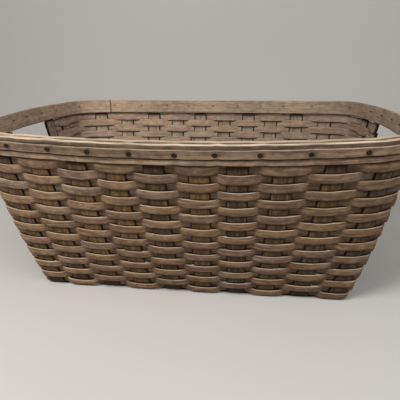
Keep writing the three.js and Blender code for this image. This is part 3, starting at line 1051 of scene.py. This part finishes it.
# %% [markdown]
# ## The tacks
#
# One tack stands in every gap between the splints. Its head is a small hammered dome, and its shank goes
# through hoop and bands and is bent over inside. It could be turned on a lathe with Spin, but a cylinder
# that is drawn out face by face gives the bent point too. It is modelled once and copied.

# %% The tack's sizes, as moves and scales of its end faces
HEAD_SIDES = 16
HEAD_RADIUS = 3.6
HEAD_EDGE = 0.8
DOME = (((0, 0, 0.35), (0.78, 0.74, 1)), ((0.2, 0, 0.15), (0.55, 0.5, 1)))
SHANK_RADIUS = 0.95
SHANK = (
    ((0, 0, -6), (1, 1, 1)),
    ((0, 0, -6), (1, 1, 1)),
    ((0, 0, -5), (0.8, 0.8, 0.8)),
    ((0, 0.7, -0.6), (0.7, 0.8, 0.7)),
    ((0, 1.8, 0.1), (0.35, 0.5, 0.35)),
)
HAMMERED = (1.06, 0.88, 1)


def select_by_height(piece, low, high):
    bpy.ops.object.mode_set(mode="OBJECT")
    for polygon in piece.data.polygons:
        polygon.select = low < polygon.center.z < high and abs(polygon.normal.z) > 0.9
    bpy.ops.object.mode_set(mode="EDIT")


def draw_out(steps):
    """Extrudes the selected face by each move and scales it."""
    for move, shrink in steps:
        bpy.ops.mesh.extrude_region_move(TRANSFORM_OT_translate={"value": move})
        bpy.ops.transform.resize(value=shrink)


print("the shank's reach below the head, mm:", -sum(move[2] for move, _ in SHANK))


# %% One tack, pointing down the axis
def model_tack():
    deselect_all()
    bpy.ops.mesh.primitive_cylinder_add(
        vertices=HEAD_SIDES, radius=HEAD_RADIUS, depth=HEAD_EDGE, location=(0, 0, HEAD_EDGE / 2)
    )
    tack = bpy.context.object
    bpy.ops.object.transform_apply(location=True)
    bpy.ops.object.mode_set(mode="EDIT")
    bpy.ops.mesh.select_mode(type="FACE")
    bpy.ops.mesh.select_all(action="DESELECT")
    select_by_height(tack, HEAD_EDGE - 0.1, HEAD_EDGE + 0.1)
    draw_out(DOME)
    bpy.ops.mesh.select_all(action="DESELECT")
    select_by_height(tack, -0.1, 0.1)
    bpy.ops.mesh.inset(thickness=HEAD_RADIUS - SHANK_RADIUS, depth=0)
    draw_out(SHANK)
    bpy.ops.mesh.select_all(action="SELECT")
    bpy.ops.transform.resize(value=HAMMERED, center_override=(0, 0, 0))
    bpy.ops.object.mode_set(mode="OBJECT")
    apply_modifier(tack, "BEVEL", width=0.18, segments=2, limit_method="ANGLE", angle_limit=0.5)
    return tack


pattern_tack = model_tack()
print("faces in a tack:", len(pattern_tack.data.polygons))

# %% Every tack in its gap
TACK_SEED = 500
HEAD_CLEARANCE = 0.1
MID_GAP = 0.75
TACK_DRIFT = dict(enumerate((-4, -2, -2.5, 0, 1, -4.5, -3.5, -5, -4)))
TACK_HEIGHT = HOOP_TOP - rise_of(HOOP_HEIGHT, HOOP_TOP) / 2
NODE_GAPS = list(range(CROSS_SPLINTS - 1)) + list(range(FIRST_FAR, FIRST_FAR + CROSS_SPLINTS - 1))
END_GAPS = [gap for gap in range(UPRIGHTS) if gap not in NODE_GAPS]


def place_tack(name, gap):
    chance = np.random.default_rng(TACK_SEED + gap)
    drift = TACK_DRIFT.get(gap, chance.uniform(-3, 3)) / gap_width(gap, TACK_HEIGHT) / 2
    spot = np.array([gap + MID_GAP + drift]), np.array([TACK_HEIGHT + chance.uniform(-0.8, 0.8)])
    point, outward, along = (Vector(values[0]) for values in wall_at(*spot))
    tack = pattern_tack.copy()
    tack.data = pattern_tack.data.copy()
    tack.name = name
    tack.data.name = name
    bpy.context.collection.objects.link(tack)
    upward = outward.cross(along)
    turn = Matrix((along, upward, outward)).transposed().to_4x4()
    spin = Matrix.Rotation(chance.uniform(-0.2, 0.2), 4, "Z")
    seat = point + outward * (HOOP_OUT - PINCH + HEAD_CLEARANCE)
    size = Matrix.Scale(1 / METRE, 4)
    tack.data.transform(size @ Matrix.Translation(seat) @ turn @ spin)
    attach(tack, "root")
    return tack


tacks = []
for number, gap in enumerate(NODE_GAPS, start=1):
    tack = place_tack(f"side_tack_{number:02d}", gap)
    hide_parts(f"tack_{number:02d}")
    tacks.append(tack)
for number, gap in enumerate(END_GAPS, start=1):
    tacks.append(place_tack(f"end_tack_{number:02d}", gap))
bpy.data.objects.remove(pattern_tack)
print("tacks:", len(tacks))


# %% How far each spot of the rim is from a tack, for the dark stains round the iron
FAR_OFF = -500


def mark_tacks(piece, way, run):
    straight = straight_run(piece)
    nearest = np.full(len(straight), 99.0)
    drop = (TACK_HEIGHT - way["height"][0]) / rise_of(1.0, TACK_HEIGHT)
    for gap in range(UPRIGHTS):
        for whole in (0, UPRIGHTS):
            spot = np.interp(gap + MID_GAP + whole, way["place"], run, left=FAR_OFF, right=FAR_OFF)
            nearest = np.minimum(nearest, np.hypot(straight[:, 0] - spot, straight[:, 1] - drop))
    keep_number(piece, "to_tack", nearest / METRE)
    return nearest.min()


nearest_found = [
    mark_tacks(inner_band, inner_way, inner_run),
    mark_tacks(outer_band, outer_way, outer_run),
    mark_tacks(hoop, hoop_way, hoop_run),
]
print("nearest vertex to a tack, mm:", [round(float(value), 1) for value in nearest_found])


# %% [markdown]
# ## Finishes
#
# The wood is bare and old: grey where sun and air reached it, with fine dark grain lines and no varnish.
# It is darker where a strip lies under or behind another, which is painted shade, and its pale top edges
# are partly worn and partly a painted highlight. Photographs of wood could be laid on it, but they would
# show their edges and repeat. One procedural recipe makes all of it, from the strip's own straight
# coordinates, and each kind of strip gets its own tones.
#
# Shader maths is written as plain expressions. A small class holds one value of the node tree and makes
# the Math node behind each sign.

# %% Shader values as expressions
class Value:
    def __init__(self, recipe, socket):
        self.recipe, self.socket = recipe, socket

    def math(self, operation, other=None, flip=False):
        inputs = [self] if other is None else [self, other]
        if flip:
            inputs.reverse()
        return self.recipe.node("ShaderNodeMath", {"operation": operation}, dict(enumerate(inputs)))

    def __add__(self, other):
        return self.math("ADD", other)

    def __sub__(self, other):
        return self.math("SUBTRACT", other)

    def __rsub__(self, other):
        return self.math("SUBTRACT", other, flip=True)

    def __mul__(self, other):
        return self.math("MULTIPLY", other)

    __radd__ = __add__
    __rmul__ = __mul__


print("signs that make Math nodes: + - *")


# %% A recipe: one material while it is being made
class Recipe:
    def __init__(self, name):
        self.material = bpy.data.materials.new(name)
        self.material.use_nodes = True
        self.tree = self.material.node_tree
        self.shader = self.tree.nodes["Principled BSDF"]

    def node(self, kind, settings=None, inputs=None, output=0):
        made = self.tree.nodes.new(kind)
        for key, value in (settings or {}).items():
            if key == "stops":
                for spot, (position, colour) in enumerate(value):
                    ramp = made.color_ramp.elements
                    stop = ramp[spot] if spot < 2 else ramp.new(position)
                    stop.position, stop.color = position, colour
            else:
                setattr(made, key, value)
        for key, value in (inputs or {}).items():
            self.put(made.inputs[key], value)
        return Value(self, made.outputs[output])

    def put(self, socket, value):
        if isinstance(value, Value):
            self.tree.links.new(value.socket, socket)
        else:
            socket.default_value = value

    def attribute(self, name, output):
        return self.node("ShaderNodeAttribute", {"attribute_name": name}, output=output)

    def stretched(self, vector, scale):
        return self.node("ShaderNodeVectorMath", {"operation": "MULTIPLY"}, {0: vector, 1: scale})

    def noise(self, vector, scale, detail=2.0, roughness=0.5, distortion=0.0):
        inputs = {
            "Vector": self.stretched(vector, scale), "Scale": 1.0, "Detail": detail,
            "Roughness": roughness, "Distortion": distortion,
        }
        return self.node("ShaderNodeTexNoise", None, inputs)

    def between(self, value, low, high):
        """0 below low, 1 above high, and a smooth step between them."""
        inputs = {"Value": value, "From Min": low, "From Max": high}
        return self.node("ShaderNodeMapRange", {"interpolation_type": "SMOOTHSTEP"}, inputs)

    def blend(self, share, first, second, way="MIX"):
        inputs = {0: share, 6: first, 7: second}
        return self.node("ShaderNodeMix", {"data_type": "RGBA", "blend_type": way}, inputs, output=2)

    def bump(self, height, strength, distance, under=None):
        inputs = {"Height": height, "Strength": strength, "Distance": distance}
        if under is not None:
            inputs["Normal"] = under
        return self.node("ShaderNodeBump", None, inputs)


print("a recipe's methods:", [name for name in vars(Recipe) if name[0] != "_"])


# %% [markdown]
# The wood recipe works in layers. Broad noise shifts the tone along each strip, and a number drawn for
# the whole strip turns it towards a second set of tones. Streaks, long in the grain's direction and a
# millimetre or less across it, give the fibre. A sharp threshold on finer streaks gives a few dark
# checks. Bump comes from the same streaks, so relief and colour agree.

# %% Colours as seen on screen
def colour(red, green, blue):
    """A colour as seen on screen, turned into the linear values that shaders take."""
    seen = (red / 255, green / 255, blue / 255)
    return tuple(v / 12.92 if v <= 0.04045 else ((v + 0.055) / 1.055) ** 2.4 for v in seen) + (1,)


# The dark colour for painted shade in creases, in slits and under overhangs, and also for real grime,
# dark checks and end grain.
SHADE_AND_GRIME = colour(26, 20, 15)
print("grime as a shader takes it:", [round(value, 4) for value in SHADE_AND_GRIME[:3]])


# %% Bare wood on a strip, from the marks kept on it
class BareWood(Recipe):
    def __init__(self, name):
        super().__init__(name)
        self.way = self.attribute("strip_way", 1)
        self.to_edge = self.attribute("to_edge", 2)
        self.across = self.attribute("across", 2)
        self.to_end = self.attribute("to_end", 2)
        self.face = self.attribute("face", 2)
        self.outside = self.between(self.face, -0.5, 0.5)
        spot = self.node("ShaderNodeTexCoord", output=3)
        self.side = self.node("ShaderNodeSeparateXYZ", None, {0: spot})

    def ramp(self, value, stops):
        grey = [(position, (level, level, level, 1)) for position, level in stops]
        ordered = [grey[0], grey[-1], *grey[1:-1]]
        return self.node("ShaderNodeValToRGB", {"stops": ordered}, {0: value})

    def tone(self, first, second, age=None):
        """Two sets of three tones, mixed by the strip's own age or number and by broad noise."""
        broad = self.noise(self.way, (6, 18, 5.3), 2.0, 0.55)
        other = self.noise(self.way, (2.7, 6, 11.7), 1.0, 0.5)
        mixed = broad * 0.55 + other * 0.45
        sets = [
            self.node("ShaderNodeValToRGB", {"stops": [(0.36, a), (0.64, c), (0.5, b)]}, {0: mixed})
            for a, b, c in (first, second)
        ]
        number = self.node("ShaderNodeSeparateXYZ", None, {0: self.way}, output=2)
        chance = self.node("ShaderNodeTexWhiteNoise", {"noise_dimensions": "1D"}, {"W": number})
        drift = self.noise(self.way, (4.1, 9, 17.3), 1.0, 0.5)
        share = self.between((chance if age is None else age) * 0.7 + drift, 0.6, 1.1)
        return self.blend(share, sets[0], sets[1]), broad

    def fibre(self, tone, dark, light, strength):
        streak = self.noise(self.way, (11, 260, 3.7), 3.0, 0.6, 0.4)
        fine = self.noise(self.way, (26, 900, 9.1), 2.0, 0.6, 0.2)
        self.grain = streak * 0.6 + fine * 0.4
        self.checks = self.between(self.noise(self.way, (16, 520, 21.0), 1.0, 0.4, 0.3), 0.31, 0.25)
        mottle = self.noise(self.way, (70, 150, 6.1), 3.0, 0.65)
        fibred = self.blend(self.between(self.grain, 0.55, 0.36) * (0.7 * strength), tone, dark)
        fibred = self.blend(self.between(self.grain, 0.5, 0.66) * (0.45 * strength), fibred, light)
        fibred = self.blend(self.between(mottle, 0.52, 0.36) * 0.4, fibred, dark)
        fibred = self.blend(self.between(mottle, 0.5, 0.66) * 0.35, fibred, light)
        return self.painted_shade_and_grime(fibred, self.checks * 0.55)

    # Blends towards the dark colour by each mask: painted shade where a mask marks shade, and real grime
    # and checks where it marks those.
    def painted_shade_and_grime(self, below, *shares):
        for share in shares:
            below = self.blend(share, below, SHADE_AND_GRIME)
        return below

    def finish(self, surface, strength, broad):
        self.put(self.shader.inputs["Base Color"], surface)
        self.put(self.shader.inputs["Roughness"], 0.88 - self.between(self.grain, 0.5, 0.7) * 0.12)
        self.shader.inputs["Specular IOR Level"].default_value = 0.2
        bumped = self.bump(self.grain - self.checks * 0.6, 0.5 * strength, 0.0006)
        self.put(self.shader.inputs["Normal"], self.bump(broad, 0.25, 0.0015, bumped))
        return self.material


print("layers of bare wood:", [name for name in vars(BareWood) if name[0] != "_"])

# %% [markdown]
# Over the bare wood lies what the years did, and painted light and shade. Painted shade darkens a strip
# where another strip shades it, under the rim and beside each splint. Painted light makes one end of the
# basket paler than the other. The inside is greyer, and the top edges are pale, partly worn and partly a
# painted highlight. Blender can find crevices by itself, but not in an exported model. The marks on each
# strip say where its neighbours lie, so they place the painted shade instead.

# %% Old wood, with painted light and shade
# Painted light: the span along the basket over which one end fades into the other, and how much darker
# and paler the walls get.
LIGHT_FALLOFF_ENDS = (-0.36, 0.3)
WALL_LIGHT_FALL = 0.18
WALL_LIGHT_LIFT = 0.18


class Wood(BareWood):
    def by_face(self, outer, inner):
        """One value on the outer face and another on the inner face."""
        return inner + (outer - inner) * self.outside

    def painted_shade_across(self, below, outer, inner):
        """Painted shade and light in bands across the strip, one set on each face."""
        bands = self.blend(self.outside, self.ramp(self.across, inner), self.ramp(self.across, outer))
        return self.blend(1.0, below, bands, "MULTIPLY")

    def painted_end_light(self, below, light_fall, light_lift):
        """Painted light that makes the basket paler at one end than at the other."""
        along = self.between(self.side, *LIGHT_FALLOFF_ENDS)
        level = self.ramp(along, [(0, 1.0 + light_lift), (0.35, 1.0), (1, 1 - light_fall)])
        return self.blend(1.0, below, level, "MULTIPLY")

    def greyed_inside(self, below, share):
        return self.blend((1.0 - self.outside) * share, below, colour(166, 150, 136))

    # Pale top edges: partly real wear and bleaching, partly a painted highlight where the top edges catch
    # the light. It is weaker towards the right end.
    def bleached_and_highlit(self, below, share, tone):
        top = self.between(self.across + self.noise(self.way, (40, 3, 2.0), 2.0) * 0.012, 0.978, 0.992)
        patchy = self.between(self.noise(self.way, (14, 3, 8.8), 3.0, 0.6), 0.32, 0.58)
        kept = self.between(self.side, 0.37, 0.27) * 0.6 + 0.4
        return self.blend(top * share * kept * (0.45 + patchy * 0.55), below, tone)


# The years' marks and the painted light and shade together.
print("what the years did:", [name for name in vars(Wood) if name[0] != "_"])


# %% The weavers' wood: painted shade where a strip lies behind its neighbours and under the rim, and painted highlights on top edges
def weaver_finish(name):
    wood = Wood(name)
    tone, broad = wood.tone(
        [colour(123, 95, 71), colour(147, 114, 85), colour(171, 135, 102)],
        [colour(144, 108, 92), colour(136, 110, 93), colour(148, 134, 116)],
    )
    surface = wood.fibre(tone, colour(96, 74, 56), colour(190, 162, 132), 1.0)
    # Painted shade along each strip's lower edge on both faces; the inner face is lifted by painted
    # light.
    surface = wood.painted_shade_across(
        surface,
        [(0, 0.15), (0.06, 0.5), (0.18, 0.78), (0.8, 0.86), (1, 0.86)],
        [(0, 0.3), (0.05, 0.95), (0.2, 1.22), (0.8, 1.22), (1, 1.22)],
    )
    surface = wood.greyed_inside(surface, 0.3)
    surface = wood.painted_end_light(surface, WALL_LIGHT_FALL, WALL_LIGHT_LIFT)
    # Painted shade: the outer face darkens where it is recessed, where it lies behind a splint near the
    # strip's edges, in the slit beside each splint and just under the rim band.
    off_wall = wood.attribute("off_wall", 2)
    proud = off_wall * wood.face
    behind = wood.between(proud, -0.0006, -0.0022) * wood.between(wood.to_edge, 0.004, 0.0004)
    recessed = wood.between(proud, 0.0006, -0.0012) * wood.outside
    beside = wood.between(wood.attribute("from_splint", 2), 0.0022, 0.0004)
    beside = beside * wood.between(proud, 0.0, -0.001)
    under_rim = wood.between(wood.attribute("below_rim", 2), 0.006, 0.001)
    surface = wood.painted_shade_and_grime(surface, recessed * 0.36, behind * 0.5, beside * 0.85, under_rim * 0.85)
    # The passes that stand off the wall get the pale top edges, partly wear and partly a painted
    # highlight.
    reached = wood.between(off_wall.math("ABSOLUTE"), 0.0008, 0.0024)
    surface = wood.bleached_and_highlit(surface, reached * 0.75, colour(206, 184, 156))
    # The last few millimetres of each cut end are dark: end grain together with painted shade.
    surface = wood.painted_shade_and_grime(surface, wood.between(wood.to_end, 0.0065, 0.002) * 0.85)
    return wood.finish(surface, 1.0, broad)


weaver_wood = weaver_finish("weathered_weaver")
print("nodes in the weavers' wood:", len(weaver_wood.node_tree.nodes))


# %% The splints' wood: bare only between the rows, with painted shade under the row above
def splint_finish(name):
    wood = Wood(name)
    outer, broad = wood.tone(
        [colour(98, 72, 42), colour(110, 80, 48), colour(124, 90, 54)],
        [colour(66, 50, 38), colour(78, 58, 44), colour(92, 70, 52)],
        wood.attribute("age", 2),
    )
    inner, _ = wood.tone(
        [colour(152, 130, 112), colour(166, 144, 124), colour(182, 158, 136)],
        [colour(146, 132, 118), colour(162, 146, 132), colour(176, 160, 146)],
    )
    surface = wood.blend(wood.outside, inner, outer)
    surface = wood.fibre(surface, colour(56, 42, 28), colour(150, 122, 88), 0.65)
    surface = wood.painted_end_light(surface, WALL_LIGHT_FALL, WALL_LIGHT_LIFT)
    rows = wood.attribute("rows", 2)
    from_bare = wood.node("ShaderNodeMath", {"operation": "WRAP"}, {0: rows, 1: 1.0, 2: -1.0})
    # Painted shade on the bare patches: under the row above, under the rim, over the row below and along
    # the splint's edges.
    above = wood.between(from_bare, -0.15, 0.45) * 0.94
    below_rim = wood.attribute("below_rim", 2)
    under_rim = wood.by_face(wood.between(below_rim, 0.02, 0.004), wood.between(below_rim, 0.006, 0.001))
    below = wood.between(from_bare, -0.44, -0.58) * 0.8
    # Near the floor the outer face gets painted shade, and over the lower rows it darkens towards the
    # bottom.
    foot = wood.between(rows, 0.9, 0.3) * 0.45 + wood.between(rows, 11.0, 3.0) * 0.3
    outer_edge = wood.between(wood.to_edge, 0.0016, 0.0004)
    inner_edge = wood.between(wood.to_edge, 0.003, 0.0008)
    edges = wood.by_face(outer_edge, inner_edge)
    surface = wood.painted_shade_and_grime(surface, above, under_rim * 0.85, below, foot * wood.outside, edges * 0.85)
    tip = wood.between(below_rim, -0.024, -0.0265)
    surface = wood.blend(tip, surface, colour(172, 152, 128))
    return wood.finish(surface, 0.9, broad)


splint_wood = splint_finish("weathered_splint")
print("nodes in the splints' wood:", len(splint_wood.node_tree.nodes))


# %% The rim's wood: pale on top from wear and a painted highlight, painted shade beside the hoop, stained round the iron
def rim_finish(name, outer, inner, bleach, stain, light_fall, light_lift):
    wood = Wood(name)
    tone, broad = wood.tone(
        [colour(130, 106, 88), colour(154, 128, 104), colour(180, 150, 116)],
        [colour(152, 120, 106), colour(146, 128, 114), colour(164, 152, 140)],
    )
    surface = wood.fibre(tone, colour(88, 70, 56), colour(180, 156, 130), 1.0)
    surface = wood.painted_shade_across(surface, outer, inner)
    surface = wood.greyed_inside(surface, 0.25)
    surface = wood.painted_end_light(surface, light_fall, light_lift)
    to_tack = wood.attribute("to_tack", 2)
    halo = wood.between(to_tack + wood.noise(wood.way, (60, 160, 4.0), 2.0) * 0.006, 0.0095, 0.0045)
    surface = wood.blend(halo * stain, surface, colour(58, 48, 42))
    surface = wood.bleached_and_highlit(surface, bleach, colour(220, 202, 178))
    surface = wood.painted_shade_and_grime(surface, wood.attribute("lap", 2) * 0.8)
    return wood.finish(surface, 1.1, broad)


# Bands across each rim face, from the lower edge at 0 to the top at 1. The dark lower edges and the dark
# line just under the hoop are painted shadow, and the hoop's bright top edge is a painted highlight. The
# outer band is lighter below the hoop and darker above it, the hoop's face darkens towards its top, and
# the inner band's inner face is a little lighter.
PLAIN_FACE_SHADE = [(0, 0.6), (0.06, 0.9), (0.2, 1.0), (1, 1.0)]
INNER_BAND_SHADE = [(0, 0.66), (0.06, 1.07), (0.2, 1.1), (1, 1.1)]
OUTER_BAND_SHADE = [
    (0, 0.3), (0.05, 1.32), (0.18, 1.28), (0.26, 0.75), (0.3, 0.06), (0.78, 0.3), (0.82, 0.42), (1, 0.5)
]
HOOP_LIGHT_AND_SHADE = [(0, 0.42), (0.05, 0.8), (0.3, 0.73), (0.8, 0.52), (0.96, 0.46), (1, 0.88)]
inner_rim_wood = rim_finish(
    "inner_rim_wood", PLAIN_FACE_SHADE, INNER_BAND_SHADE, bleach=0.55, stain=0.15, light_fall=0.13, light_lift=0.48
)
outer_rim_wood = rim_finish(
    "outer_rim_wood", OUTER_BAND_SHADE, PLAIN_FACE_SHADE, bleach=0.9, stain=0.0, light_fall=0.02, light_lift=0.0
)
hoop_wood = rim_finish(
    "hoop_wood", HOOP_LIGHT_AND_SHADE, PLAIN_FACE_SHADE, bleach=0.25, stain=0.5, light_fall=-0.2, light_lift=0.1
)
print("rim finishes:", [wood.name for wood in (inner_rim_wood, outer_rim_wood, hoop_wood)])


# %% [markdown]
# The tacks are plain iron gone dark brown. Noise shifts the brown, lifts the roughness where the oxide is
# thicker and pits the surface.

# %% Dark iron
def dark_iron(name):
    recipe = Recipe(name)
    spot = recipe.node("ShaderNodeTexCoord", output=3)
    rust = recipe.noise(spot, (520, 520, 520), 3.0, 0.6)
    patch = recipe.between(rust, 0.45, 0.62)
    brown = recipe.blend(patch, colour(24, 19, 16), colour(44, 32, 25))
    recipe.put(recipe.shader.inputs["Base Color"], brown)
    recipe.shader.inputs["Specular IOR Level"].default_value = 0.25
    recipe.put(recipe.shader.inputs["Metallic"], 0.25 - patch * 0.2)
    recipe.put(recipe.shader.inputs["Roughness"], 0.6 + patch * 0.25)
    recipe.put(recipe.shader.inputs["Normal"], recipe.bump(rust, 0.5, 0.0004))
    return recipe.material


tack_iron = dark_iron("dark_iron")
print("nodes in the iron:", len(tack_iron.node_tree.nodes))

# %% Each piece gets its finish
for pieces, material in (
    (weavers, weaver_wood),
    (splints, splint_wood),
    ([inner_band], inner_rim_wood),
    ([outer_band], outer_rim_wood),
    ([hoop], hoop_wood),
    (tacks, tack_iron),
):
    for piece in pieces:
        piece.data.materials.clear()
        piece.data.materials.append(material)
print("materials:", [material.name for material in bpy.data.materials])

# %% [markdown]
# ## Floor, light and camera
#
# The stage is a pale floor that rises into a pale backdrop. Two soft lamps stand in front and above, the
# stronger one on the left, so that the top edges catch the light and the underside of each strip stays
# dark.

# %% The stage
FLOOR_SIZE = (9, 4.6, 1)
FLOOR_SHIFT = (0, -1.2, 0)
BACK_EDGE = 1.0
BACKDROP_SLOPE = (0, 0.25, 0.25)
BACKDROP_RISE = (0, 0, 3.2)


def model_stage():
    deselect_all()
    bpy.ops.mesh.primitive_plane_add(size=1)
    floor = bpy.context.object
    floor.name = "studio_floor"
    bpy.ops.object.mode_set(mode="EDIT")
    bpy.ops.mesh.select_all(action="SELECT")
    bpy.ops.transform.resize(value=FLOOR_SIZE)
    bpy.ops.transform.translate(value=FLOOR_SHIFT)
    bpy.ops.mesh.select_mode(type="EDGE")
    bpy.ops.object.mode_set(mode="OBJECT")
    edges, vertices = floor.data.edges, floor.data.vertices
    for edge in edges:
        edge.select = all(vertices[corner].co.y > BACK_EDGE for corner in edge.vertices)
    for polygon in floor.data.polygons:
        polygon.select = False
    for vertex in vertices:
        vertex.select = vertex.co.y > BACK_EDGE
    bpy.ops.object.mode_set(mode="EDIT")
    bpy.ops.mesh.extrude_region_move(TRANSFORM_OT_translate={"value": BACKDROP_SLOPE})
    bpy.ops.mesh.extrude_region_move(TRANSFORM_OT_translate={"value": BACKDROP_RISE})
    bpy.ops.object.mode_set(mode="OBJECT")
    apply_modifier(floor, "BEVEL", width=0.4, segments=10, limit_method="ANGLE", angle_limit=0.3)
    smooth_shade(floor, 60)
    return floor


floor = model_stage()
print("faces in the stage:", len(floor.data.polygons))


# %% The paper on the stage
def studio_paper():
    recipe = Recipe("studio_paper")
    spot = recipe.node("ShaderNodeTexCoord", output=3)
    shade = recipe.noise(spot, (1.3, 1.3, 1.3), 2.0)
    paper = recipe.blend(shade, colour(206, 204, 198), colour(216, 214, 209))
    recipe.put(recipe.shader.inputs["Base Color"], paper)
    recipe.shader.inputs["Roughness"].default_value = 0.9
    return recipe.material


floor.data.materials.append(studio_paper())
print("stage finish:", floor.data.materials[0].name)


# %% Lights
MID_BASKET = (0, 0, 0.15)


def area_light(name, place, size, power, tint):
    light = bpy.data.lights.new(name, "AREA")
    light.shape, light.size, light.energy, light.color = "SQUARE", size, power, tint
    lamp = bpy.data.objects.new(name, light)
    lamp.location = place
    lamp.rotation_euler = (Vector(MID_BASKET) - Vector(place)).to_track_quat("-Z", "Y").to_euler()
    bpy.context.collection.objects.link(lamp)


area_light("key_light", (-0.8, -1.35, 1.6), size=0.8, power=34, tint=(1.0, 0.975, 0.94))
area_light("fill_light", (1.0, -1.35, 1.65), size=1.5, power=19, tint=(0.98, 0.99, 1.0))
world = bpy.data.worlds.new("studio")
world.use_nodes = True
background = world.node_tree.nodes["Background"]
background.inputs["Color"].default_value = (0.93, 0.95, 1.0, 1)
background.inputs["Strength"].default_value = 0.12
bpy.context.scene.world = world


# %% [markdown]
# The camera stands a little right of the basket's middle and looks down on it. Its place, turn and lens
# come from matching the basket's known points in the photograph.

# %% Camera
SENSOR = 36.0
PHOTO_PIXELS = 400
FOCAL_PIXELS = 425.7


def turned_camera(place, yaw, pitch, roll, lens):
    ahead = Vector((math.sin(yaw) * math.cos(pitch), math.cos(yaw) * math.cos(pitch), -math.sin(pitch)))
    level = Vector((math.cos(yaw), -math.sin(yaw), 0))
    upright = level.cross(ahead)
    right = level * math.cos(roll) + upright * math.sin(roll)
    up = upright * math.cos(roll) - level * math.sin(roll)
    data = bpy.data.cameras.new("photo_camera")
    data.sensor_fit = "HORIZONTAL"
    data.sensor_width = SENSOR
    data.lens = lens
    camera = bpy.data.objects.new("photo_camera", data)
    turn = Matrix((right, up, -ahead)).transposed().to_4x4()
    camera.matrix_world = Matrix.Translation(place) @ turn
    bpy.context.collection.objects.link(camera)
    return camera


camera = turned_camera(
    (0.10442, -0.80728, 0.39934), yaw=-0.13, pitch=0.3262, roll=-0.0093,
    lens=FOCAL_PIXELS / PHOTO_PIXELS * SENSOR,
)
bpy.context.scene.camera = camera
bpy.context.scene.view_settings.view_transform = "Standard"
print("lens, mm:", round(camera.data.lens, 2))
